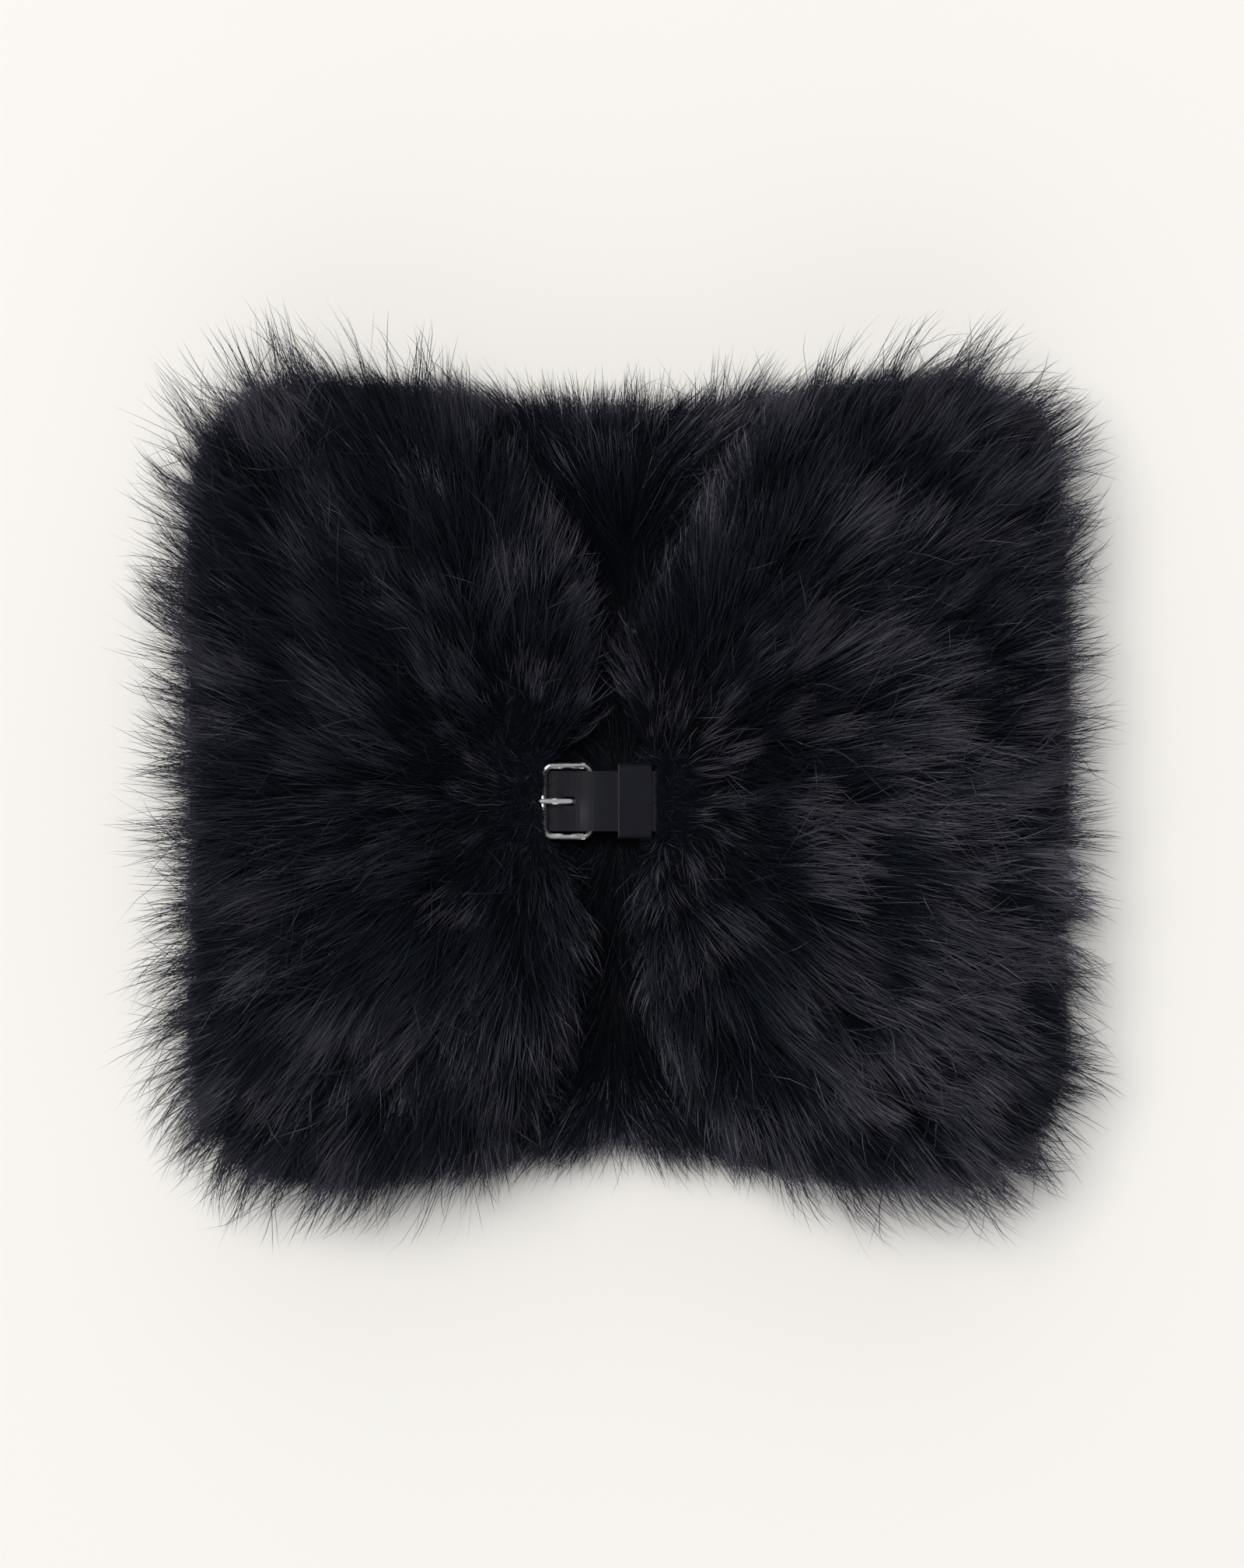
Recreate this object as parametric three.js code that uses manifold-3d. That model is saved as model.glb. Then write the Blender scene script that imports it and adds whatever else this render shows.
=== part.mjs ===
// Fur collar wrap, laid flat with its leather strap buckled.
// Millimetres, +Z up, +X to the wrap's right as seen from above, +Y to its top hem.
import * as THREE from "three";
import { mergeVertices } from "three/addons/utils/BufferGeometryUtils.js";
import Module from "manifold-3d";

const wasm = await Module();
wasm.setup();

// Driving dimensions of the fur layers
const SEAM = 0.3;
const BACK_TOP = 12;
const FACING_LOW = BACK_TOP + SEAM;
const FACING_TOP = 26;
const FRONT_LOW = FACING_TOP + 2 * SEAM;
const CREST = 62;
const CREST_FALL = 0.026;
const CREST_RISE = 62;
const THROAT_TOP = 42;
const THROAT_LOW = 29;
const THROAT_ROUND = 34;
const EDGE_TOP = 37;
const HEM_TIP = 31;
const FOLD_TIP = 25;
const FOLD_LOW = 13.5;
const FOLD_TURN = { from: 26, to: 13 };
const TIP_THICK = 1.4;
const EDGE_LIFT = 1;
const PUFF = { x: -2, high: 8, from: 54, rise: 45, flare: 0.42, narrow: 1 };

// Driving dimensions of the strap and its buckle
const STRAP = { width: 20, thick: 1.6, holeX: -18.1, hole: 5.6, holeWidth: 3 };
const MIDDLE_Y = -7.8;
const BUCKLE = { x: -18.5, z: 37, length: 18.2, width: 26, wire: 2.3, corner: 3.2 };
const TAB = { width: 19, thick: 1.4, slot: 9, slotWidth: 3.4, turn: 1.1 };
const KEEPER = { x: 4, length: 11.2, width: 25, thick: 1.3, low: 31.6, high: 40.8 };
const PRONG = { ring: 1.25, ringWidth: 2.5, root: 1.15, tip: 0.95 };
const HEEL_X = BUCKLE.x + (BUCKLE.length - BUCKLE.wire) / 2;
const GATHER = { left: -34, right: 18, width: 25 };
const CUTTER_REACH = 20;

// Edge of each fur layer, where the pile is still dense. lock is how far lock tips stand past it,
// round the width over which the pile rounds down to it, and fold is 1 along a side fold.
const LEFT_EDGE = [
  { x: -31.5, y: 5.0, lock: 0.4, round: 16, fold: 0 },
  { x: -22, y: 11, lock: 1.5, round: 18, fold: 0 },
  { x: -12, y: 28, lock: 3, round: 22, fold: 0 },
  { x: -10.5, y: 50, lock: 4, round: 26, fold: 0 },
  { x: -20, y: 77, lock: 5, round: 28, fold: 0 },
  { x: -36, y: 102, lock: 7, round: 28, fold: 0 },
  { x: -54, y: 124, lock: 9, round: 26, fold: 0 },
  { x: -76, y: 131, lock: 13, round: 26, fold: 0 },
  { x: -98, y: 134, lock: 15, round: 26, fold: 0 },
  { x: -114, y: 132, lock: 16, round: 28, fold: 0.1 },
  { x: -130, y: 126, lock: 16, round: 30, fold: 1 },
  { x: -142, y: 113, lock: 16, round: 34, fold: 1 },
  { x: -145.5, y: 80, lock: 17, round: 38, fold: 1 },
  { x: -146, y: 20, lock: 18, round: 38, fold: 1 },
  { x: -145, y: -50, lock: 17, round: 38, fold: 1 },
  { x: -144, y: -106, lock: 16, round: 36, fold: 1 },
  { x: -131, y: -127, lock: 16, round: 30, fold: 1 },
  { x: -114, y: -134, lock: 16, round: 28, fold: 0.1 },
  { x: -96, y: -137, lock: 16, round: 26, fold: 0 },
  { x: -70, y: -134, lock: 14, round: 26, fold: 0 },
  { x: -46, y: -127, lock: 10, round: 26, fold: 0 },
  { x: -30, y: -112, lock: 7, round: 26, fold: 0 },
  { x: -20, y: -90, lock: 5, round: 26, fold: 0 },
  { x: -15, y: -62, lock: 4, round: 24, fold: 0 },
  { x: -14, y: -42, lock: 3, round: 20, fold: 0 },
  { x: -21, y: -27, lock: 1.5, round: 16, fold: 0 },
  { x: -31.5, y: -20.6, lock: 0.4, round: 14, fold: 0 },
];
const RIGHT_EDGE = [
  { x: 15.5, y: 5.0, lock: 0.4, round: 16, fold: 0 },
  { x: 9, y: 12, lock: 1.5, round: 18, fold: 0 },
  { x: 1, y: 29, lock: 3, round: 22, fold: 0 },
  { x: 4, y: 51, lock: 4, round: 26, fold: 0 },
  { x: 16, y: 72, lock: 5, round: 28, fold: 0 },
  { x: 31, y: 93, lock: 6, round: 28, fold: 0 },
  { x: 48, y: 116, lock: 8, round: 28, fold: 0 },
  { x: 62, y: 128, lock: 12, round: 26, fold: 0 },
  { x: 84, y: 134, lock: 19, round: 26, fold: 0 },
  { x: 100, y: 135, lock: 17, round: 26, fold: 0 },
  { x: 116, y: 133, lock: 16, round: 28, fold: 0.1 },
  { x: 132, y: 127, lock: 16, round: 30, fold: 1 },
  { x: 144, y: 113, lock: 16, round: 34, fold: 1 },
  { x: 147, y: 80, lock: 16, round: 38, fold: 1 },
  { x: 149.5, y: 20, lock: 15, round: 38, fold: 1 },
  { x: 148, y: -50, lock: 15, round: 38, fold: 1 },
  { x: 147, y: -106, lock: 15, round: 36, fold: 1 },
  { x: 133, y: -128, lock: 16, round: 30, fold: 1 },
  { x: 116, y: -134, lock: 17, round: 28, fold: 0.1 },
  { x: 98, y: -137, lock: 19, round: 26, fold: 0 },
  { x: 72, y: -135, lock: 14, round: 26, fold: 0 },
  { x: 46, y: -129, lock: 10, round: 26, fold: 0 },
  { x: 28, y: -112, lock: 7, round: 26, fold: 0 },
  { x: 15, y: -89, lock: 5, round: 26, fold: 0 },
  { x: 8, y: -63, lock: 4, round: 24, fold: 0 },
  { x: 7, y: -42, lock: 3, round: 20, fold: 0 },
  { x: 12, y: -28, lock: 1.5, round: 16, fold: 0 },
  { x: 15.5, y: -20.6, lock: 0.4, round: 14, fold: 0 },
];
const BACK_EDGE = [
  { x: 0, y: 124, lock: 13 },
  { x: -32, y: 126, lock: 13 },
  { x: -62, y: 130, lock: 13 },
  { x: -98, y: 133, lock: 13 },
  { x: -128, y: 127, lock: 12 },
  { x: -142, y: 112, lock: 11 },
  { x: -146, y: 60, lock: 11 },
  { x: -146, y: -60, lock: 11 },
  { x: -143, y: -108, lock: 11 },
  { x: -128, y: -129, lock: 12 },
  { x: -98, y: -136, lock: 13 },
  { x: -60, y: -133, lock: 13 },
  { x: -25, y: -127, lock: 12 },
  { x: 0, y: -124, lock: 12 },
  { x: 30, y: -127, lock: 12 },
  { x: 62, y: -133, lock: 13 },
  { x: 98, y: -136, lock: 14 },
  { x: 130, y: -129, lock: 12 },
  { x: 145, y: -108, lock: 11 },
  { x: 148, y: -60, lock: 11 },
  { x: 149, y: 60, lock: 11 },
  { x: 144, y: 112, lock: 11 },
  { x: 130, y: 128, lock: 12 },
  { x: 98, y: 134, lock: 13 },
  { x: 62, y: 130, lock: 13 },
  { x: 32, y: 126, lock: 13 },
];
const FACING_EDGE = [
  { x: 0, y: 124, lock: 14 },
  { x: -30, y: 126, lock: 13 },
  { x: -56, y: 128, lock: 12 },
  { x: -92, y: 127, lock: 10 },
  { x: -103, y: 110, lock: 2 },
  { x: -110, y: 74, lock: 1 },
  { x: -112, y: 0, lock: 2 },
  { x: -110, y: -74, lock: 1 },
  { x: -103, y: -112, lock: 2 },
  { x: -92, y: -130, lock: 10 },
  { x: -56, y: -131, lock: 12 },
  { x: -25, y: -127, lock: 13 },
  { x: 0, y: -123, lock: 13 },
  { x: 28, y: -126, lock: 13 },
  { x: 56, y: -131, lock: 12 },
  { x: 92, y: -130, lock: 10 },
  { x: 103, y: -112, lock: 2 },
  { x: 110, y: -74, lock: 1 },
  { x: 113, y: 0, lock: 2 },
  { x: 110, y: 74, lock: 1 },
  { x: 103, y: 110, lock: 2 },
  { x: 92, y: 127, lock: 10 },
  { x: 56, y: 128, lock: 12 },
  { x: 30, y: 126, lock: 13 },
];

// Locks: along is the share of the way from the gathered end to the edge
const LOCK_ROWS = [
  { from: 0.04, to: 0.42, count: 8, high: 3.6 },
  { from: 0.42, to: 0.74, count: 14, high: 4.4 },
  { from: 0.74, to: 1.01, count: 40, high: 3.4 },
];
const LOCK_SHAPE = [
  { across: 0, reach: 0 },
  { across: 0.4, reach: 0.62 },
  { across: 0.72, reach: 1 },
];
const EDGE_LOCKS = { front: 40, back: 38, facing: 30 };
const SHORTEST_LOCK = 0.62;
const FACING_LOCK = { high: 2.2, from: 90 };
const LOCK_SPREAD = 6;
const FRONT_ROWS = [0, 0.1, 0.2, 0.3, 0.4, 0.44, 0.54, 0.64, 0.72, 0.76, 0.84, 0.92, 1];
const FINE_STEPS = 700;

// Profile of the strap from its free end to the left front, and of the tab round the heel bar
const STRAP_LINE = [
  { x: 13.2, z: 38.2 },
  { x: 4, z: 38.2 },
  { x: -1.6, z: 38.5 },
  { x: -6, z: 39.9 },
  { x: -10.6, z: 41.1 },
  { x: -14.6, z: 40.6 },
  { x: -18, z: 38.5 },
  { x: -21, z: 35.8 },
  { x: -24, z: 34.3 },
  { x: -28, z: 33.8 },
  { x: GATHER.left + SEAM, z: 33.8 },
];
const TAB_UPPER = [
  { x: GATHER.right - SEAM, z: 36 },
  { x: 6, z: 36 },
  { x: 0, z: 36.1 },
  { x: -4.6, z: 37.1 },
  { x: -8, z: 38.6 },
];
const TAB_LOWER = [
  { x: -8, z: 34.5 },
  { x: -3, z: 34.1 },
  { x: 6, z: 34 },
  { x: GATHER.right - SEAM, z: 34 },
];

const FUR = { color: 0x15161b, roughness: 0.75, metalness: 0 };
const LEATHER = { color: 0x1e1e25, roughness: 0.45, metalness: 0 };
const METAL = { color: 0xd9d6d1, roughness: 0.18, metalness: 1 };

function scatter(index, salt) {
  const value = Math.sin(index * 12.9898 + salt * 78.233) * 43758.5453;
  return value - Math.floor(value);
}

function smooth(value) {
  const clamped = Math.min(1, Math.max(0, value));
  return clamped * clamped * (3 - 2 * clamped);
}

function roundOff(share) {
  const rest = 1 - Math.min(1, Math.max(0, share));
  return Math.sqrt(1 - rest * rest);
}

/** Collects corners and triangles and gives one closed body with its faces pointing out. */
class Body {
  constructor() {
    this.places = [];
    this.faces = [];
  }

  corner(x, y, z) {
    this.places.push(new THREE.Vector3(x, y, z));
    return this.places.length - 1;
  }

  quad(a, b, c, d) {
    this.faces.push([a, b, c], [a, c, d]);
  }

  /** Joins two rows with the same number of corners. */
  band(first, second, closed) {
    const last = first.length - (closed ? 0 : 1);
    for (let i = 0; i < last; i += 1) {
      const j = (i + 1) % first.length;
      this.quad(first[i], first[j], second[j], second[i]);
    }
  }

  /** Joins two rows whose corners differ in number, by their share of the way along. */
  zip(first, second) {
    let i = 0;
    let j = 0;
    while (i < first.length - 1 || j < second.length - 1) {
      const nextFirst = (i + 1) / (first.length - 1);
      const nextSecond = (j + 1) / (second.length - 1);
      if (j === second.length - 1 || (i < first.length - 1 && nextFirst <= nextSecond)) {
        this.faces.push([first[i], first[i + 1], second[j]]);
        i += 1;
      } else {
        this.faces.push([first[i], second[j + 1], second[j]]);
        j += 1;
      }
    }
  }

  fan(centre, ring, forward) {
    ring.forEach((corner, i) => {
      const next = ring[(i + 1) % ring.length];
      this.faces.push(forward ? [centre, corner, next] : [centre, next, corner]);
    });
  }

  volume() {
    const sum = this.faces.reduce((total, [a, b, c]) => {
      const cross = this.places[b].clone().cross(this.places[c]);
      return total + this.places[a].dot(cross);
    }, 0);
    return sum / 6;
  }

  geometry() {
    const turned = this.volume() < 0;
    const order = this.faces.flatMap(([a, b, c]) => (turned ? [a, c, b] : [a, b, c]));
    const geometry = new THREE.BufferGeometry();
    const numbers = this.places.flatMap((place) => place.toArray());
    geometry.setAttribute("position", new THREE.Float32BufferAttribute(numbers, 3));
    geometry.setIndex(order);
    return geometry;
  }
}

/** Reads an edge table at a place on its curve, from 0 to 1. */
function readEdge(table, curve, t, closed) {
  const spans = table.length - (closed ? 0 : 1);
  const place = Math.min(t * spans, spans - 1e-9);
  const from = table[Math.floor(place)];
  const to = table[(Math.floor(place) + 1) % table.length];
  const share = place - Math.floor(place);
  const mix = (key) => THREE.MathUtils.lerp(from[key] ?? 0, to[key] ?? 0, share);
  const at = curve.getPoint(t);
  return { x: at.x, y: at.y, lock: mix("lock"), round: mix("round"), fold: mix("fold") };
}

/** Columns along an edge, closer together where the locks are long, each with its outward way. */
function edgeColumns(table, locks, shape, closed) {
  const corners = table.map((row) => new THREE.Vector3(row.x, row.y, 0));
  const curve = new THREE.CatmullRomCurve3(corners, closed, "centripetal");
  const fine = [];
  for (let i = 0; i <= FINE_STEPS; i += 1) {
    fine.push(readEdge(table, curve, i / FINE_STEPS, closed));
  }
  const reached = [0];
  for (let i = 1; i <= FINE_STEPS; i += 1) {
    const step = Math.hypot(fine[i].x - fine[i - 1].x, fine[i].y - fine[i - 1].y);
    reached.push(reached[i - 1] + step * (LOCK_SPREAD + fine[i].lock));
  }
  const columns = [];
  for (let lock = 0; lock < locks; lock += 1) {
    const reachOfLock = THREE.MathUtils.lerp(SHORTEST_LOCK, 1, scatter(lock, table.length));
    for (const { across, reach } of shape) {
      columns.push({ part: (lock + across) / locks, reach: reach * reachOfLock });
    }
  }
  if (!closed) {
    columns.push({ part: 1, reach: 0 });
  }
  return columns.map((column) => {
    const wanted = column.part * reached[FINE_STEPS];
    let i = 1;
    while (i < FINE_STEPS && reached[i] < wanted) {
      i += 1;
    }
    const share = (wanted - reached[i - 1]) / (reached[i] - reached[i - 1]);
    const t = (i - 1 + share) / FINE_STEPS;
    const tangent = curve.getTangent(Math.min(t, 0.9999));
    return { ...column, ...readEdge(table, curve, t, closed), tangent };
  });
}

/** Height of the locks over the pile at a share of the edge and a share of the way to it. */
function lockRelief(part, along) {
  const row = LOCK_ROWS.find((entry) => along >= entry.from && along < entry.to);
  if (!row) {
    return 0;
  }
  const staggered = part * row.count + (row.count === EDGE_LOCKS.front ? 0 : 0.5);
  const lock = Math.floor(staggered);
  const aside = Math.abs(2 * (staggered - lock) - 1);
  const ridge = 1 - aside ** 1.6;
  const rise = smooth((along - row.from) / (row.to - row.from));
  return row.high * ridge * rise * (0.7 + 0.3 * scatter(lock, row.count));
}

/** A front: a fan of pile from the gathered end at the strap out to the hems and the side fold. */
function frontPanel(table, gatherX) {
  const columns = edgeColumns(table, EDGE_LOCKS.front, LOCK_SHAPE, false);
  const gatherHigh = MIDDLE_Y + GATHER.width / 2;
  const turn = Math.sign(gatherX - table[Math.floor(table.length / 2)].x);
  const throat = [0, 0.25, 0.5, 0.75, 1].map((share) => ({
    x: gatherX,
    y: gatherHigh - share * GATHER.width,
    round: THROAT_ROUND,
    top: THROAT_TOP,
    fold: 0,
  }));
  const rims = columns.map((column) => ({ ...column, top: EDGE_TOP })).concat(throat);

  const nearest = (x, y, pool) => {
    let best = pool[0];
    let gap = Infinity;
    for (const rim of pool) {
      const distance = Math.hypot(rim.x - x, rim.y - y);
      if (distance < gap) {
        gap = distance;
        best = rim;
      }
    }
    return { rim: best, gap };
  };
  const topAt = (x, y, part, along) => {
    const { rim, gap } = nearest(x, y, rims);
    const out = Math.hypot(x - gatherX, y - MIDDLE_Y);
    const crest = THROAT_TOP + (CREST - THROAT_TOP) * smooth(out / CREST_RISE) - CREST_FALL * out;
    return rim.top + (crest - rim.top) * roundOff(gap / rim.round) + lockRelief(part, along);
  };
  const lowAt = (x, y, along) => {
    const { rim, gap } = nearest(x, y, columns);
    const turned = smooth((FOLD_TURN.from - gap) / (FOLD_TURN.from - FOLD_TURN.to)) * rim.fold;
    const start = THREE.MathUtils.lerp(THROAT_LOW, FRONT_LOW, smooth(along * 2));
    return THREE.MathUtils.lerp(start, FOLD_LOW, turned);
  };

  const body = new Body();
  const rows = FRONT_ROWS.map(() => []);
  const tips = [];
  const lows = [[], [], [], [], []];
  const lowTips = [];
  for (const column of columns) {
    const start = { x: gatherX, y: gatherHigh - column.part * GATHER.width };
    const reach = Math.hypot(column.x - start.x, column.y - start.y);
    const at = (along) => ({
      x: THREE.MathUtils.lerp(start.x, column.x, along),
      y: THREE.MathUtils.lerp(start.y, column.y, along),
    });
    FRONT_ROWS.forEach((along, i) => {
      const { x, y } = at(along);
      rows[i].push(body.corner(x, y, topAt(x, y, column.part, along)));
    });
    const turnFrom = 1 - Math.min(0.4, FOLD_TURN.from / reach);
    const turnTo = 1 - Math.min(0.2, FOLD_TURN.to / reach);
    const lowRows = [0, 0.5, turnFrom, turnTo, 1];
    lowRows.forEach((along, i) => {
      const { x, y } = at(along);
      lows[i].push(body.corner(x, y, lowAt(x, y, along) + (along === 1 ? EDGE_LIFT : 0)));
    });
    const way = new THREE.Vector3(column.x - start.x, column.y - start.y, 0).normalize();
    way.add(new THREE.Vector3(turn * column.tangent.y, -turn * column.tangent.x, 0)).normalize();
    const tipX = column.x + way.x * column.lock * column.reach;
    const tipY = column.y + way.y * column.lock * column.reach;
    const tipZ = THREE.MathUtils.lerp(HEM_TIP, FOLD_TIP, column.fold) + 2 * column.reach;
    tips.push(body.corner(tipX, tipY, tipZ + TIP_THICK / 2));
    lowTips.push(body.corner(tipX, tipY, tipZ - TIP_THICK / 2));
  }
  const tops = [...rows, tips];
  const unders = [...lows, lowTips];
  for (let i = 1; i < tops.length; i += 1) {
    body.band(tops[i - 1], tops[i], false);
  }
  for (let i = 1; i < unders.length; i += 1) {
    body.band(unders[i], unders[i - 1], false);
  }
  body.band(tips, lowTips, false);
  body.band(lows[0], rows[0], false);
  const end = columns.length - 1;
  body.zip(tops.map((row) => row[0]), unders.map((row) => row[0]));
  body.zip(unders.map((row) => row[end]), tops.map((row) => row[end]));
  return body.geometry();
}

/** A layer of the back: rings from the middle of its top, over its edge, to its underside. */
function backLayer(table, locks, rings, middle) {
  const columns = edgeColumns(table, locks, [LOCK_SHAPE[0], LOCK_SHAPE[2]], true);
  const body = new Body();
  const corners = rings.map((ring) =>
    columns.map((column) => {
      const way = new THREE.Vector3(column.x, column.y - MIDDLE_Y, 0).normalize();
      const past = ring.tip ? column.lock * column.reach : 0;
      const x = column.x * ring.share + way.x * past;
      const y = MIDDLE_Y + (column.y - MIDDLE_Y) * ring.share + way.y * past;
      return body.corner(x, y, ring.z + (ring.lift ? ring.lift(x, y, column) : 0));
    }),
  );
  for (let i = 1; i < corners.length; i += 1) {
    body.band(corners[i - 1], corners[i], true);
  }
  body.fan(body.corner(0, MIDDLE_Y, middle.top), corners[0], false);
  body.fan(body.corner(0, MIDDLE_Y, middle.low), corners.at(-1), true);
  return body.geometry();
}

function backOuter() {
  const rings = [
    { share: 0.88, z: BACK_TOP },
    { share: 1, z: BACK_TOP - 1.6 },
    { share: 1, z: 5.6, tip: true },
    { share: 1, z: 1.4 },
    { share: 0.94, z: 0 },
  ];
  return backLayer(BACK_EDGE, EDGE_LOCKS.back, rings, { top: BACK_TOP, low: 0 });
}

/** The facing puffs up where it shows in the two openings between the fronts. */
function facingPuff(x, y) {
  const out = Math.abs(y - MIDDLE_Y);
  const halfWidth = Math.max(PUFF.narrow, (out - PUFF.from) * PUFF.flare);
  const across = 1 - ((x - PUFF.x) / halfWidth) ** 2;
  return PUFF.high * Math.max(0, across) * smooth((out - PUFF.from) / PUFF.rise);
}

function backInner() {
  const lift = (x, y, column) => {
    const furrow = FACING_LOCK.high * (1 - column.reach) * smooth(Math.hypot(x, y) / FACING_LOCK.from);
    return facingPuff(x, y) - furrow;
  };
  const rings = [
    { share: 0.3, z: FACING_TOP },
    { share: 0.5, z: FACING_TOP, lift },
    { share: 0.66, z: FACING_TOP, lift },
    { share: 0.82, z: FACING_TOP, lift },
    { share: 0.92, z: FACING_TOP - 0.5, lift },
    { share: 1, z: FACING_TOP - 3, lift },
    { share: 1, z: 18.5, tip: true },
    { share: 1, z: FACING_LOW + 1.4 },
    { share: 0.95, z: FACING_LOW },
  ];
  return backLayer(FACING_EDGE, EDGE_LOCKS.facing, rings, { top: FACING_TOP, low: FACING_LOW });
}

/** A leather strip: a line in the XZ plane, thickened and drawn out across the strap. */
function strip(points, thick, width) {
  const left = [];
  const right = [];
  points.forEach((point, i) => {
    const before = points[Math.max(0, i - 1)];
    const after = points[Math.min(points.length - 1, i + 1)];
    const way = new THREE.Vector2(after.x - before.x, after.y - before.y).normalize();
    left.push(new THREE.Vector2(point.x - (way.y * thick) / 2, point.y + (way.x * thick) / 2));
    right.unshift(new THREE.Vector2(point.x + (way.y * thick) / 2, point.y - (way.x * thick) / 2));
  });
  const shape = new THREE.Shape([...left, ...right]);
  return drawnAcross(shape, width);
}

function drawnAcross(shape, width) {
  const options = { depth: width, bevelEnabled: false, curveSegments: 12 };
  const geometry = new THREE.ExtrudeGeometry(shape, options);
  geometry.rotateX(Math.PI / 2);
  geometry.translate(0, MIDDLE_Y + width / 2, 0);
  return geometry;
}

function smoothLine(rows, steps) {
  const corners = rows.map((row) => new THREE.Vector3(row.x, row.z, 0));
  const curve = new THREE.CatmullRomCurve3(corners, false, "centripetal");
  return curve.getSpacedPoints(steps).map((point) => new THREE.Vector2(point.x, point.y));
}

function toSolid(geometry) {
  const bare = geometry.clone();
  bare.deleteAttribute("normal");
  bare.deleteAttribute("uv");
  const merged = mergeVertices(bare, 1e-4);
  const mesh = new wasm.Mesh({
    numProp: 3,
    vertProperties: new Float32Array(merged.attributes.position.array),
    triVerts: new Uint32Array(merged.index.array),
  });
  return new wasm.Manifold(mesh);
}

function fromSolid(solid) {
  const mesh = solid.getMesh();
  const geometry = new THREE.BufferGeometry();
  geometry.setAttribute("position", new THREE.Float32BufferAttribute(mesh.vertProperties, 3));
  geometry.setIndex(Array.from(mesh.triVerts));
  return geometry;
}

/** An upright slot with round ends, longer along X, that cuts right through the leather. */
function slotCutter(x, length, width) {
  const radius = width / 2;
  const straight = length / 2 - radius;
  const shape = new THREE.Shape();
  shape.absarc(straight, 0, radius, -Math.PI / 2, Math.PI / 2, false);
  shape.absarc(-straight, 0, radius, Math.PI / 2, (3 * Math.PI) / 2, false);
  const options = { depth: 2 * CUTTER_REACH, bevelEnabled: false, curveSegments: 8 };
  const geometry = new THREE.ExtrudeGeometry(shape, options);
  geometry.translate(x, MIDDLE_Y, BUCKLE.z - CUTTER_REACH);
  return geometry;
}

function strap() {
  const band = strip(smoothLine(STRAP_LINE, 34), STRAP.thick, STRAP.width);
  const hole = slotCutter(STRAP.holeX, STRAP.hole, STRAP.holeWidth);
  return fromSolid(toSolid(band).subtract(toSolid(hole)));
}

/** The tab folds round the heel bar, with a slot there for the prong. */
function buckleTab() {
  const radius = BUCKLE.wire / 2 + SEAM + TAB.thick / 2;
  const around = Array.from({ length: 13 }, (_, i) => {
    const angle = Math.PI * (1 - TAB.turn / 2 + (i / 12) * TAB.turn);
    return new THREE.Vector2(HEEL_X + radius * Math.cos(angle), BUCKLE.z + radius * Math.sin(angle));
  });
  const line = [...smoothLine(TAB_UPPER, 8), ...around, ...smoothLine(TAB_LOWER, 6)];
  const band = strip(line, TAB.thick, TAB.width);
  const slot = slotCutter(HEEL_X - 1, TAB.slot, TAB.slotWidth);
  return fromSolid(toSolid(band).subtract(toSolid(slot)));
}

/** The keeper is a closed leather loop round the strap and the tab. */
function keeper() {
  const loop = (halfWidth, low, high, corner) => {
    const shape = new THREE.Shape();
    shape.moveTo(-halfWidth + corner, low);
    shape.lineTo(halfWidth - corner, low);
    shape.absarc(halfWidth - corner, low + corner, corner, -Math.PI / 2, 0, false);
    shape.absarc(halfWidth - corner, high - corner, corner, 0, Math.PI / 2, false);
    shape.absarc(-halfWidth + corner, high - corner, corner, Math.PI / 2, Math.PI, false);
    shape.absarc(-halfWidth + corner, low + corner, corner, Math.PI, (3 * Math.PI) / 2, false);
    return shape;
  };
  const outer = loop(KEEPER.width / 2, KEEPER.low, KEEPER.high, 2.2);
  const { thick } = KEEPER;
  const inner = loop(KEEPER.width / 2 - thick, KEEPER.low + thick, KEEPER.high - thick, 1);
  outer.holes.push(new THREE.Path(inner.getPoints(6)));
  const options = { depth: KEEPER.length, bevelEnabled: false, curveSegments: 6 };
  const geometry = new THREE.ExtrudeGeometry(outer, options);
  geometry.rotateX(Math.PI / 2);
  geometry.rotateZ(Math.PI / 2);
  geometry.translate(KEEPER.x - KEEPER.length / 2, MIDDLE_Y, 0);
  return geometry;
}

/** Round wire along points, closed into a ring or with rounded ends. */
function wire(points, radii, sides, closed) {
  const body = new Body();
  const rings = points.map((point, i) => {
    const before = closed ? points.at(i - 1) : points[Math.max(0, i - 1)];
    const after = closed ? points[(i + 1) % points.length] : points[Math.min(points.length - 1, i + 1)];
    const way = after.clone().sub(before).normalize();
    const up = closed ? new THREE.Vector3(0, 0, 1) : new THREE.Vector3(0, 1, 0);
    const aside = way.clone().cross(up).normalize();
    return Array.from({ length: sides }, (_, k) => {
      const angle = (k / sides) * Math.PI * 2;
      const place = point.clone();
      place.addScaledVector(aside, radii[i] * Math.cos(angle));
      place.addScaledVector(up, radii[i] * Math.sin(angle));
      return body.corner(place.x, place.y, place.z);
    });
  });
  for (let i = 1; i < rings.length; i += 1) {
    body.band(rings[i - 1], rings[i], true);
  }
  if (closed) {
    body.band(rings.at(-1), rings[0], true);
  } else {
    const first = points[0];
    const last = points.at(-1);
    body.fan(body.corner(first.x, first.y, first.z), rings[0], false);
    body.fan(body.corner(last.x, last.y, last.z), rings.at(-1), true);
  }
  return body.geometry();
}

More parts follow.
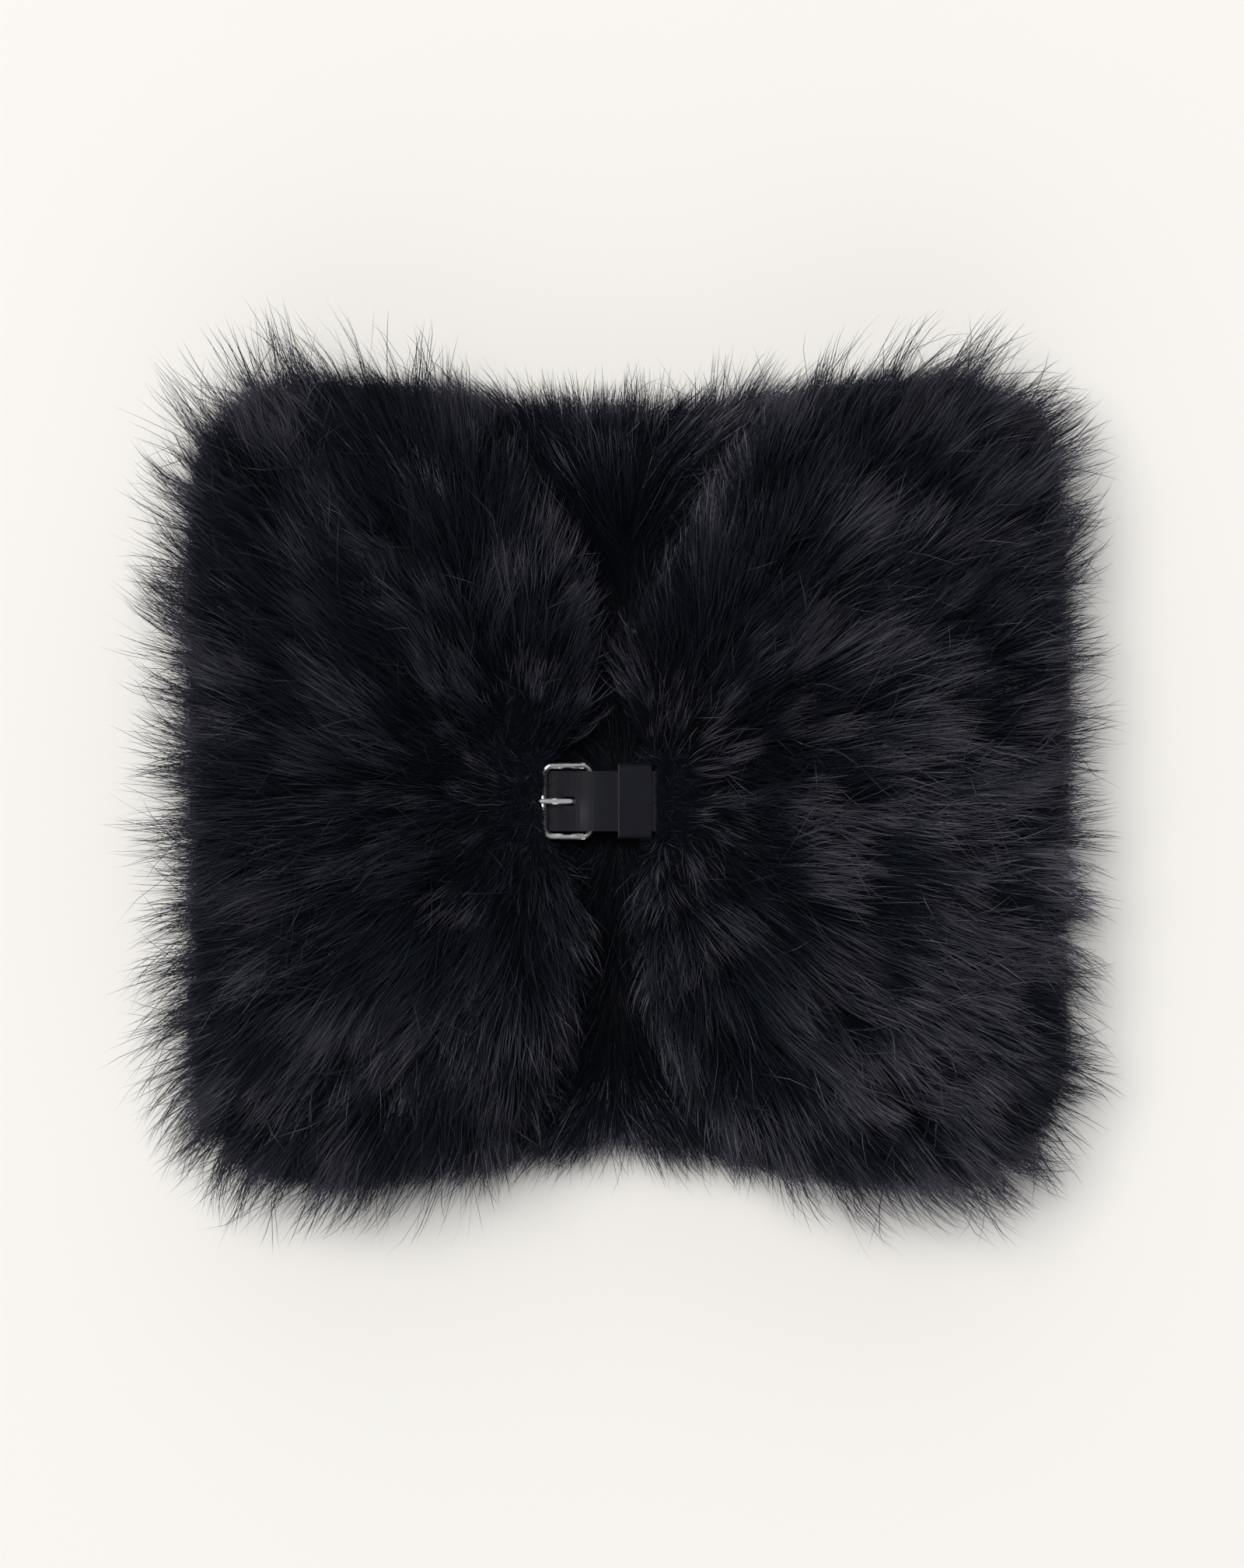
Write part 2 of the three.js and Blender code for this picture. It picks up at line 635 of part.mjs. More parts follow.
function buckleFrame() {
  const halfLength = (BUCKLE.length - BUCKLE.wire) / 2;
  const halfWidth = (BUCKLE.width - BUCKLE.wire) / 2;
  const points = [];
  const corners = [
    { x: 1, y: 1, from: 0 },
    { x: -1, y: 1, from: 0.5 },
    { x: -1, y: -1, from: 1 },
    { x: 1, y: -1, from: 1.5 },
  ];
  for (const corner of corners) {
    for (let i = 0; i <= 5; i += 1) {
      const angle = (corner.from + i / 10) * Math.PI;
      const x = BUCKLE.x + corner.x * (halfLength - BUCKLE.corner) + BUCKLE.corner * Math.cos(angle);
      const y = MIDDLE_Y + corner.y * (halfWidth - BUCKLE.corner) + BUCKLE.corner * Math.sin(angle);
      points.push(new THREE.Vector3(x, y, BUCKLE.z));
    }
  }
  const radii = points.map(() => BUCKLE.wire / 2);
  return wire(points, radii, 12, true);
}

/** The prong turns on the heel bar, comes up through the strap and lies on the outer bar. */
function prong() {
  const inner = BUCKLE.wire / 2 + SEAM;
  const shape = new THREE.Shape();
  shape.absarc(HEEL_X, BUCKLE.z, inner + PRONG.ring, 0, Math.PI * 2, false);
  const bore = new THREE.Path();
  bore.absarc(HEEL_X, BUCKLE.z, inner, 0, Math.PI * 2, false);
  shape.holes.push(bore);
  const ring = drawnAcross(shape, PRONG.ringWidth);
  const line = [
    { x: HEEL_X - inner - 0.5, z: BUCKLE.z + 0.5, radius: PRONG.root },
    { x: -15.4, z: 37.9, radius: PRONG.root },
    { x: -18.4, z: 38.5, radius: PRONG.root },
    { x: -22, z: 39.3, radius: PRONG.root },
    { x: -26, z: 39.6, radius: PRONG.tip },
    { x: -27.6, z: 39.55, radius: PRONG.tip * 0.8 },
    { x: -28.2, z: 39.5, radius: PRONG.tip * 0.4 },
  ];
  const points = line.map((row) => new THREE.Vector3(row.x, MIDDLE_Y, row.z));
  const shaft = wire(points, line.map((row) => row.radius), 10, false);
  return fromSolid(toSolid(ring).add(toSolid(shaft)));
}

function piece(name, geometry, look) {
  const mesh = new THREE.Mesh(geometry, new THREE.MeshStandardMaterial(look));
  mesh.name = name;
  return mesh;
}

const wrap = new THREE.Group();
wrap.add(piece("back_outer", backOuter(), FUR));
wrap.add(piece("back_inner", backInner(), FUR));
wrap.add(piece("front_left", frontPanel(LEFT_EDGE, GATHER.left), FUR));
wrap.add(piece("front_right", frontPanel(RIGHT_EDGE, GATHER.right), FUR));
wrap.add(piece("strap", strap(), LEATHER));
wrap.add(piece("buckle_tab", buckleTab(), LEATHER));
wrap.add(piece("keeper", keeper(), LEATHER));
wrap.add(piece("buckle_frame", buckleFrame(), METAL));
wrap.add(piece("prong", prong(), METAL));

// The origin is the middle of the underside
const reach = new THREE.Box3().setFromObject(wrap);
wrap.position.set(-(reach.min.x + reach.max.x) / 2, -(reach.min.y + reach.max.y) / 2, -reach.min.z);

export default wrap;
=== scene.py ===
"""Fur collar wrap laid flat: the finish of its fur, leather and metal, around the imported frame."""
import itertools
import math

import bmesh
import bpy
import numpy as np
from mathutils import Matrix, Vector, kdtree


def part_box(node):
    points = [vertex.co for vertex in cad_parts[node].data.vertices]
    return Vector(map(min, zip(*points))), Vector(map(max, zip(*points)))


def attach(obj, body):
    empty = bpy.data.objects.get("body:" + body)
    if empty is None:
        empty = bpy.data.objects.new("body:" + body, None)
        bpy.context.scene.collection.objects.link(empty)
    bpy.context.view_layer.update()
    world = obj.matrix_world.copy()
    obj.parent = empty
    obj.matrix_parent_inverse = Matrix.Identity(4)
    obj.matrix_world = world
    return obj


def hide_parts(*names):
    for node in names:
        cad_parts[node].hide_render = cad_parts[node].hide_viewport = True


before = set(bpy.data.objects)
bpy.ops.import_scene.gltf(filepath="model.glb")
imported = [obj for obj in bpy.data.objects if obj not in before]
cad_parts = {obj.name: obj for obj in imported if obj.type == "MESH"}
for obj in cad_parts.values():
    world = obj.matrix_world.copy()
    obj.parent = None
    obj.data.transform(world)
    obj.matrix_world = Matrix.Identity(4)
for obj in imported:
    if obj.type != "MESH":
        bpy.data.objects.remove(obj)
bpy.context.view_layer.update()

MM = 0.001

# The part's own sizes, in millimetres, before it was centred on its box
FACING_TOP = 26.0
FRONT_LOW = 26.6
CREST, CREST_FALL, CREST_RISE = 62.0, 0.026, 62.0
THROAT_TOP, THROAT_LOW, THROAT_ROUND = 42.0, 29.0, 34.0
EDGE_TOP = 37.0
FOLD_LOW, FOLD_FROM, FOLD_TO = 13.5, 26.0, 13.0
PUFF = {"x": -2.0, "high": 8.0, "from": 54.0, "rise": 45.0, "flare": 0.42, "narrow": 1.0}
BUCKLE = {"x": -18.5, "y": -7.8, "z": 37.0, "length": 18.2, "width": 26.0, "wire": 2.3, "corner": 3.2}
MIDDLE = np.array([0.0, BUCKLE["y"]])
GATHER_LEFT, GATHER_RIGHT, GATHER_WIDTH = -34.0, 18.0, 25.0

# Dense edge of each fur layer: x, y, rounding width, and 1 along a side fold
LEFT_EDGE = [
    (-31.5, 5.0, 16, 0), (-22, 11, 18, 0), (-12, 28, 22, 0), (-10.5, 50, 26, 0),
    (-20, 77, 28, 0), (-36, 102, 28, 0), (-54, 124, 26, 0), (-76, 131, 26, 0),
    (-98, 134, 26, 0), (-114, 132, 28, 0.1), (-130, 126, 30, 1), (-142, 113, 34, 1),
    (-145.5, 80, 38, 1), (-146, 20, 38, 1), (-145, -50, 38, 1), (-144, -106, 36, 1),
    (-131, -127, 30, 1), (-114, -134, 28, 0.1), (-96, -137, 26, 0), (-70, -134, 26, 0),
    (-46, -127, 26, 0), (-30, -112, 26, 0), (-20, -90, 26, 0), (-15, -62, 24, 0),
    (-14, -42, 20, 0), (-21, -27, 16, 0), (-31.5, -20.6, 14, 0),
]
RIGHT_EDGE = [
    (15.5, 5.0, 16, 0), (9, 12, 18, 0), (1, 29, 22, 0), (4, 51, 26, 0),
    (16, 72, 28, 0), (31, 93, 28, 0), (48, 116, 28, 0), (62, 128, 26, 0),
    (84, 134, 26, 0), (100, 135, 26, 0), (116, 133, 28, 0.1), (132, 127, 30, 1),
    (144, 113, 34, 1), (147, 80, 38, 1), (149.5, 20, 38, 1), (148, -50, 38, 1),
    (147, -106, 36, 1), (133, -128, 30, 1), (116, -134, 28, 0.1), (98, -137, 26, 0),
    (72, -135, 26, 0), (46, -129, 26, 0), (28, -112, 26, 0), (15, -89, 26, 0),
    (8, -63, 24, 0), (7, -42, 20, 0), (12, -28, 16, 0), (15.5, -20.6, 14, 0),
]
BACK_EDGE = [
    (0, 124), (-32, 126), (-62, 130), (-98, 133), (-128, 127), (-142, 112), (-146, 60),
    (-146, -60), (-143, -108), (-128, -129), (-98, -136), (-60, -133), (-25, -127),
    (0, -124), (30, -127), (62, -133), (98, -136), (130, -129), (145, -108), (148, -60),
    (149, 60), (144, 112), (130, 128), (98, 134), (62, 130), (32, 126),
]
FACING_EDGE = [
    (0, 124), (-30, 126), (-56, 128), (-92, 127), (-103, 110), (-110, 74), (-112, 0),
    (-110, -74), (-103, -112), (-92, -130), (-56, -131), (-25, -127), (0, -123),
    (28, -126), (56, -131), (92, -130), (103, -112), (110, -74), (113, 0), (110, 74),
    (103, 110), (92, 127), (56, 128), (30, 126),
]

# Gathers at the strap: place across, height, width, and how far out each one runs
GATHERS = [
    (0.07, 2.0, 0.030, 0.34), (0.18, 2.8, 0.042, 0.46), (0.31, 1.8, 0.036, 0.30),
    (0.45, 2.5, 0.050, 0.52), (0.58, 1.6, 0.034, 0.36), (0.71, 2.7, 0.046, 0.44),
    (0.88, 2.0, 0.038, 0.32),
]
# Furrows in the pile: place across, where along they begin and end, depth, width
FURROWS_LEFT = [
    (0.30, 0.35, 0.95, 3.6, 0.030), (0.44, 0.45, 0.90, 2.6, 0.022),
    (0.57, 0.30, 0.85, 3.8, 0.028), (0.72, 0.40, 0.95, 3.0, 0.026),
]
FURROWS_RIGHT = [
    (0.27, 0.40, 0.95, 3.2, 0.024), (0.40, 0.30, 0.80, 3.8, 0.026),
    (0.50, 0.45, 0.95, 3.0, 0.022), (0.62, 0.35, 0.90, 4.0, 0.028),
    (0.77, 0.45, 0.95, 2.8, 0.024),
]

FABRIC_THICK = 1.4
MAT_TOP, MAT_LOW = 11.2, 0.2
PILE_DEPTH = 16.0
STRAND_SHARE = 1.0
STRAND_WIDEN = 1.0
MOST_STRANDS = 38_000
REACH_SHARE = 0.84
SEEDS = {"left": 11, "right": 23, "facing": 37, "back": 41, "depth": 5}

# Pile: how far apart its locks stand, how many hairs it has, and their lengths
FRONT_LOCKS, FRONT_HAIRS = 9.0, 58_000
SHORT_HAIR, LONG_HAIR, LONG_FROM, LESS_AT_RIM = 13.0, 31.0, 55.0, 3.0
FACING_LOCKS, FACING_HAIRS, FACING_HAIR = 7.5, 28_000, 30.0
BACK_LOCKS, BACK_HAIRS, BACK_HAIR = 6.0, 16_000, 22.0
# Reach of the long hairs and of the undercoat past the dense edge: left, right, top, low, opening
FRONT_REACH = ((26.0, 18.0, 29.0, 26.0, 10.0), (-3.0, -1.6, 1.0, -0.8, -2.5))
FACING_REACH = ((10.0, 10.0, 17.0, 15.0, 16.0), (0.0, 0.0, 4.5, 3.0, 1.5))
BACK_REACH = ((11.0, 9.0, 14.0, 11.0, 11.0), (-2.0, -1.0, 1.5, 0.0, 0.0))
# On the left, the leather-end hairs lie over the frame's left bar, partly a dark stand-in for the shade on it
THROAT_HAIRS, LEATHER_END_HAIRS = 5200, 900
UNDER_STAND = 0.22
LONG_HAIR_WIDER = 0.06
GOLDEN_SHARE = 0.61803
# Hairs level off softly above the ceiling and stay clear of the surface
CEILING, CEILING_ROOM, LOWEST_HAIR = 64.0, 10.0, 0.7

# Where hairs stay clear of the fastening: left, right, low and top side
FRAME_ZONE = (-25.2, -9.0, -21.4, 5.8)
STRAP_ZONE = (-9.5, 10.4, -20.2, 4.6)
PRONG_LEFT, PRONG_HALF = -28.6, 1.7

# Colours of a hair at its root, middle and tip; the darker root is painted shade inside the pile over the
# hair's own near-black
SHADED_HAIR_ROOT, HAIR_MIDDLE = (0.0010, 0.0018, 0.0036), (0.0044, 0.0062, 0.0110)
# The pale guard tip is a painted highlight where light catches the tips; the undercoat tip is its own dark
# colour
GUARD_TIP_HIGHLIGHT, UNDER_TIP = (0.0760, 0.0695, 0.0850), (0.0122, 0.0148, 0.0228)
# Colours for the facing's hairs deep between the fronts: painted shade
DEPTH_SHADE_MIDDLE, DEPTH_SHADE_TIP = (0.0020, 0.0030, 0.0056), (0.0048, 0.0065, 0.0106)
# The paler tone serves real wear on leather edges and a painted highlight line on the keeper
LEATHER_TONE, RUBBED_AND_HIGHLIGHT_TONE = (0.0044, 0.0048, 0.0082), (0.030, 0.030, 0.037)
POLISHED_SPOT, POLISHED_REACH = (-16.0, -12.0, 41.0), 9.0
# Width of the painted highlight line along the keeper's left edge
EDGE_HIGHLIGHT_WIDTH = 0.45

# The photograph: its height in pixels, and the place of its middle in the part's own millimetres
PHOTO_HEIGHT, MM_PER_PIXEL = 2016, 0.26
PHOTO_MIDDLE = (-0.26, -2.08, 0)

RIBBON_AT = np.array([0.0, 0.36, 0.72, 1.0])
RIBBON_WIDTH = np.array([0.9, 1.0, 0.72, 0.0])

low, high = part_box("buckle_frame")
SHIFT = np.array((Vector(low) + Vector(high)) / 2) / MM - np.array([BUCKLE["x"], BUCKLE["y"], BUCKLE["z"]])


def smooth(value):
    """Eases from 0 to 1."""
    clamped = np.clip(value, 0.0, 1.0)
    return clamped * clamped * (3 - 2 * clamped)


def unit(vectors):
    """Vectors of length 1."""
    return vectors / np.maximum(np.linalg.norm(vectors, axis=-1, keepdims=True), 1e-9)


def from_strap(y):
    """How far a place lies above or below the middle of the strap."""
    return np.abs(y - BUCKLE["y"])


def mix(a, b, share):
    """Between a and b."""
    return a + (b - a) * share


class Waves:
    """Smooth noise over the plan, from a few waves, about -1 to 1."""

    def __init__(self, rng, size, count=7):
        angle = rng.uniform(0, 2 * math.pi, count)
        turns = 2 * math.pi / (size * rng.uniform(0.7, 1.5, count))
        self.ways = np.stack([np.cos(angle) * turns, np.sin(angle) * turns], axis=1)
        self.phase = rng.uniform(0, 2 * math.pi, count)

    def __call__(self, points):
        return np.sin(points[..., :2] @ self.ways.T + self.phase).mean(axis=-1) * 2.2


def curve_rows(rows, t, closed):
    """A centripetal Catmull-Rom curve through the first two columns, and the other columns along it."""
    table = np.array(rows, float)
    count = len(table)
    spans = count if closed else count - 1
    place = np.minimum(t * spans, spans - 1e-9)
    index = np.floor(place).astype(int)
    share = (place - index)[:, None]

    def row(i):
        if closed:
            return table[i % count][:, :2]
        inside = table[np.clip(i, 0, count - 1)][:, :2]
        before = 2 * table[0, :2] - table[1, :2]
        after = 2 * table[-1, :2] - table[-2, :2]
        inside = np.where((i < 0)[:, None], before, inside)
        return np.where((i > count - 1)[:, None], after, inside)

    p0, p1, p2, p3 = (row(index + k) for k in (-1, 0, 1, 2))
    d0, d1, d2 = (
        np.maximum(np.linalg.norm(b - a, axis=1, keepdims=True), 1e-6) ** 0.5
        for a, b in ((p0, p1), (p1, p2), (p2, p3))
    )
    m1 = ((p1 - p0) / d0 - (p2 - p0) / (d0 + d1) + (p2 - p1) / d1) * d1
    m2 = ((p2 - p1) / d1 - (p3 - p1) / (d1 + d2) + (p3 - p2) / d2) * d1
    places = p1 + m1 * share + (3 * (p2 - p1) - 2 * m1 - m2) * share**2 + (2 * (p1 - p2) + m1 + m2) * share**3
    traits = mix(table[index % count, 2:], table[(index + 1) % count, 2:], share)
    return places, traits


def even_edge(rows, columns, closed):
    """The edge at even steps of its length, with its traits and outward normals."""
    fine_t = np.linspace(0, 1, 1500)
    places, _ = curve_rows(rows, fine_t, closed)
    gone = np.concatenate([[0], np.cumsum(np.linalg.norm(np.diff(places, axis=0), axis=1))])
    wanted = np.linspace(0, gone[-1], columns, endpoint=not closed)
    places, traits = curve_rows(rows, np.interp(wanted, gone, fine_t), closed)
    if closed:
        along = np.roll(places, -1, axis=0) - np.roll(places, 1, axis=0)
    else:
        along = np.gradient(places, axis=0)
    along = unit(along)
    out = np.stack([along[:, 1], -along[:, 0]], axis=1)
    x, y = places[:, 0], places[:, 1]
    area = np.sum(x * np.roll(y, -1) - y * np.roll(x, -1))
    return places, traits, out * (1 if area > 0 else -1)


def nearest(points, pool):
    """Index of and distance to the nearest of pool in plan."""
    flat = points.reshape(-1, 2)
    index = np.empty(len(flat), int)
    gap = np.empty(len(flat))
    for start in range(0, len(flat), 4000):
        part = flat[start : start + 4000]
        distance = np.linalg.norm(part[:, None] - pool[None], axis=2)
        index[start : start + 4000] = distance.argmin(axis=1)
        gap[start : start + 4000] = distance.min(axis=1)
    return index.reshape(points.shape[:-1]), gap.reshape(points.shape[:-1])


class Rim:
    """The dense edge of a layer, which the undercoat ends at and single long hairs pass by a little."""

    def __init__(self, rows, closed, past, dense):
        """Reach of the long hairs past the edge, and of the undercoat: left, right, top, low, opening."""
        self.edge, _, self.out = even_edge(rows, 420, closed)
        x, y = self.edge[:, 0], self.edge[:, 1]
        facing_middle = smooth((self.out[:, 0] * -np.sign(x) - 0.2) / 0.4) * (np.abs(x) < 70)
        to_hem = smooth((from_strap(y) - 92) / 24) * (1 - 0.85 * facing_middle)
        to_side = smooth((np.abs(x) - 118) / 20)
        corner = smooth((np.abs(x) - 90) / 25) * smooth((from_strap(y) - 80) / 25)
        self.opening = (1 - to_hem) * (1 - to_side)

        def by_side(left, right, top, low, opening):
            hem = np.where(y > 0, top, low)
            return mix(mix(opening, hem, to_hem), np.where(x < 0, left, right), to_side)

        self.past = by_side(*past) + 3.0 * corner
        self.dense = by_side(*dense)

    def fan(self, points, way, strength, within):
        """Turns the nap outwards along the sides of an opening."""
        index, gap = nearest(points[:, :2], self.edge)
        share = strength * self.opening[index] * np.exp(-((gap / within) ** 2))
        return unit(way + self.out[index] * share[:, None])

    def allowed(self, index, share, extra):
        """How far hairs may pass the edge: long ones by their share, the undercoat by its own reach."""
        return np.where(share > 0, self.past[index] * share, self.dense[index] + extra)

    def trimmed(self, places, nap, length, share, extra):
        """Lengths that end the hairs as far past the edge as they may reach."""
        index, gap = nearest(places["root"][:, :2], self.edge)
        outwards = np.einsum("ij,ij->i", nap, self.out[index])
        most = (gap / np.maximum(outwards, 0.3) + self.allowed(index, share, extra)) / REACH_SHARE
        return np.where(outwards > 0.12, np.clip(most, 6.0, length), length)

    def held_in(self, lines, share, extra):
        """Shortens hairs whose tips pass the edge by more than they may."""
        _, gap = nearest(lines[:, 0, :2], self.edge)
        index, _ = nearest(lines[:, -1, :2], self.edge)
        over = np.einsum("ij,ij->i", lines[:, -1, :2] - self.edge[index], self.out[index])
        most = self.allowed(index, share, extra)
        scale = np.clip((most + gap) / np.maximum(over + gap, 0.1), 0.2, 1.0)
        scale = np.where(over > most, scale, 1.0)[:, None, None]
        return lines[:, :1] + (lines - lines[:, :1]) * scale


class Sheet:
    """A grid of points on the backing of a fur layer, with normals and what varies over it."""

    def __init__(self, points, closed):
        self.points = points
        self.closed = closed
        across = np.gradient(points, axis=0)
        if closed:
            across = np.roll(points, -1, axis=0) - np.roll(points, 1, axis=0)
        along = np.gradient(points, axis=1)
        self.normals = unit(np.cross(across, along))
        if self.normals[..., 2].mean() < 0:
            self.normals = -self.normals

    def corners(self):
        """First and opposite corner indices of each cell across."""
        columns = len(self.points)
        first = np.arange(columns if self.closed else columns - 1)
        return first, (first + 1) % columns

    def cells(self):
        """The area of each cell."""
        a, b = self.corners()
        p = self.points
        side = p[b][:, :-1] - p[a][:, :-1]
        way = p[a][:, 1:] - p[a][:, :-1]
        return np.linalg.norm(np.cross(side, way), axis=-1)

    def scatter(self, count, rng, weight=None):
        """Random places on it: their point, normal, and share across and along."""
        area = self.cells()
        if weight is not None:
            a, b = self.corners()
            area = area * (weight[a][:, :-1] + weight[b][:, 1:]) / 2
        chance = np.cumsum(area.ravel())
        cell = np.searchsorted(chance, rng.uniform(0, chance[-1], count))
        cell = np.minimum(cell, area.size - 1)
        i, j = np.unravel_index(cell, area.shape)
        s, t = rng.uniform(0, 1, (2, count))
        return self.at(i, j, s, t)

    def at(self, i, j, s, t):
        """Places inside cells."""
        columns = len(self.points)
        k = (i + 1) % columns
        s, t = s[:, None], t[:, None]

        def blend(grid):
            near = mix(grid[i, j], grid[k, j], s)
            far = mix(grid[i, j + 1], grid[k, j + 1], s)
            return mix(near, far, t)

        return {
            "root": blend(self.points),
            "normal": unit(blend(self.normals)),
            "across": (i + s[:, 0]) / (columns if self.closed else columns - 1),
            "along": (j + t[:, 0]) / (self.points.shape[1] - 1),
        }


def front_form(edge_rows, gather_x):
    """Functions for a front's top and underside heights, from the same sizes as its solid."""
    edge, traits, _ = even_edge(edge_rows, 320, False)
    throat = np.stack([np.full(9, gather_x), BUCKLE["y"] + GATHER_WIDTH * np.linspace(0.5, -0.5, 9)], axis=1)
    pool = np.concatenate([edge, throat])
    rounding = np.concatenate([traits[:, 0], np.full(9, THROAT_ROUND)])
    tops = np.concatenate([np.full(len(edge), EDGE_TOP), np.full(9, THROAT_TOP)])

    def top(points):
        index, gap = nearest(points, pool)
        out = np.linalg.norm(points - np.array([gather_x, BUCKLE["y"]]), axis=-1)
        crest = THROAT_TOP + (CREST - THROAT_TOP) * smooth(out / CREST_RISE) - CREST_FALL * out
        rest = 1 - np.clip(gap / rounding[index], 0, 1)
        return tops[index] + (crest - tops[index]) * np.sqrt(1 - rest * rest)

    def under(points, along):
        index, gap = nearest(points, edge)
        turned = smooth((FOLD_FROM - gap) / (FOLD_FROM - FOLD_TO)) * traits[index, 1]
        start = mix(THROAT_LOW, FRONT_LOW, smooth(along * 2))
        return mix(start, FOLD_LOW, turned)

    return top, under


def soften(values, rounds):
    """Evens out creases where two stretches of an edge meet."""
    for _ in range(rounds):
        padded = np.pad(values, 1, mode="edge")
        beside = padded[1:-1, 1:-1] * 2 + padded[:-2, 1:-1] + padded[2:, 1:-1]
        values = (beside + padded[1:-1, :-2] + padded[1:-1, 2:]) / 6
    return values


def front_sheet(edge_rows, gather_x, furrows):
    """The backing of a front: from the gathered end, under the pile, to the rim, and round it."""
    columns, rows, curl_rows = 150, 36, 8
    edge, traits, out = even_edge(edge_rows, columns, False)
    top, under = front_form(edge_rows, gather_x)
    across = np.linspace(0, 1, columns)
    start = np.stack([np.full(columns, gather_x), BUCKLE["y"] + GATHER_WIDTH * (0.5 - across)], axis=1)
    reach = np.linalg.norm(edge - start, axis=1)
    fold = traits[:, 1]
    hem = smooth((from_strap(edge[:, 1]) - 88) / 24)
    curl = mix(mix(4.0, 7.5, hem), 14.0, fold)
    inset = np.minimum(curl + mix(4.5, 6.0, fold), reach * 0.4)
    curl = np.minimum(curl, inset * 0.7)
    along = np.linspace(0, 1, rows)[None] * (1 - inset / reach)[:, None]
    plan = mix(start[:, None], edge[:, None], along[..., None])
    height = top(plan)
    floor = under(plan, along)
    depth = PILE_DEPTH * np.tanh((height - floor) * 0.5 / PILE_DEPTH)
    z = soften(height - depth, 6)
    for place, high_, wide, run in GATHERS:
        ridge = np.exp(-(((across[:, None] - place) / wide) ** 2))
        z = z + high_ * ridge * smooth(along / 0.06) * (1 - smooth(along / run))
    for place, begin, end, deep, wide in furrows:
        wander = place + 0.012 * np.sin(along * 9 + place * 30)
        trough = np.exp(-(((across[:, None] - wander) / wide) ** 2))
        z = z - deep * trough * smooth((along - begin) / 0.15) * (1 - smooth((along - end + 0.12) / 0.12))
    grid = np.concatenate([plan, z[..., None]], axis=2)
    turn = mix(math.radians(105), math.radians(150), fold)
    return Sheet(np.concatenate([grid, curled(grid[:, -1], out, curl, turn, curl_rows)], axis=1), False)


def curled(last, out, curl, turn, rows):
    """Rows of points that carry a rim on round its curl."""
    bent = []
    for k in range(1, rows + 1):
        angle = (k / rows) * turn
        aside = out * curl[:, None] * np.sin(angle)[:, None]
        bent.append(last + np.column_stack([aside, -curl * (1 - np.cos(angle))]))
    return np.stack(bent, axis=1)


def puff(points):
    """How far the facing stands up where it shows between the fronts."""
    out = from_strap(points[..., 1])
    half = np.maximum(PUFF["narrow"], (out - PUFF["from"]) * PUFF["flare"])
    across = 1 - ((points[..., 0] - PUFF["x"]) / half) ** 2
    return PUFF["high"] * np.maximum(0, across) * smooth((out - PUFF["from"]) / PUFF["rise"])


def facing_sheet():
    """The backing of the facing, from near the middle out to its hems, and round them."""
    edge, _, out = even_edge(FACING_EDGE, 160, True)
    curl, inset, rows, curl_rows = 3.0, 9.0, 28, 4
    way = edge - MIDDLE
    reach = np.linalg.norm(way, axis=1)
    share = np.linspace(0.02, 1, rows)[None] * (1 - inset / reach)[:, None]
    plan = MIDDLE + way[:, None] * share[..., None]
    z = FACING_TOP - 6.5 + puff(plan) * 0.8
    grid = np.concatenate([plan, z[..., None]], axis=2)
    curl, turn = np.full(len(edge), curl), np.full(len(edge), math.radians(110))
    return Sheet(np.concatenate([grid, curled(grid[:, -1], out, curl, turn, curl_rows)], axis=1), True)


def rows_of_back(profile):
    """Points round the back, in a row for each inset from its edge and height."""
    edge, _, _ = even_edge(BACK_EDGE, 320, True)
    way = edge - MIDDLE
    reach = np.linalg.norm(way, axis=1)
    rows = []
    for inset, z in profile:
        share = np.maximum(0.02, 1 - inset / reach)
        rows.append(np.column_stack([MIDDLE + way * share[:, None], np.full(len(way), z)]))
    return np.stack(rows, axis=1)


def back_sheet():
    """The rim of the back's outer layer, where its pile leaves the backing, low over the surface."""
    return Sheet(rows_of_back(((16, 10.6), (11, 10.4), (8, 9.2), (6.5, 6.8), (7.5, 4.2), (11, 2.6))), True)


def to_metres(points):
    """From the part's own millimetres to the shared frame."""
    return ((points + SHIFT) * MM).astype(np.float32)


def new_mesh(name, points, faces, uv=None, traits=None):
    """A mesh object from points in millimetres and faces of equal size, or a list of such blocks."""
    blocks = faces if isinstance(faces, list) else [faces]
    mesh = bpy.data.meshes.new(name)
    mesh.vertices.add(len(points))
    mesh.vertices.foreach_set("co", to_metres(points).ravel())
    corners = np.concatenate([block.ravel() for block in blocks]).astype(np.int32)
    starts = []
    begin = 0
    for block in blocks:
        starts.append(begin + np.arange(len(block)) * block.shape[1])
        begin += block.size
    mesh.loops.add(len(corners))
    mesh.loops.foreach_set("vertex_index", corners)
    mesh.polygons.add(sum(len(block) for block in blocks))
    mesh.polygons.foreach_set("loop_start", np.concatenate(starts).astype(np.int32))
    mesh.update(calc_edges=True)
    mesh.polygons.foreach_set("use_smooth", np.ones(len(mesh.polygons), bool))
    if uv is not None:
        layer = mesh.uv_layers.new(name="OFBake")
        layer.data.foreach_set("uv", uv[corners].astype(np.float32).ravel())
    if traits is not None:
        made = mesh.attributes.new("pile", "FLOAT_VECTOR", "POINT")
        made.data.foreach_set("vector", traits.astype(np.float32).ravel())
    mesh.validate()
    made = bpy.data.objects.new(name, mesh)
    bpy.context.scene.collection.objects.link(made)
    return made


def grid_faces(columns, rows, closed):
    """Quads of a grid of points, column by column."""
    i = np.arange(columns if closed else columns - 1)
    j = np.arange(rows - 1)
    a, b = np.meshgrid(i, j, indexing="ij")
    c = (a + 1) % columns
    return np.stack([a * rows + b, c * rows + b, c * rows + b + 1, a * rows + b + 1], axis=-1).reshape(-1, 4)


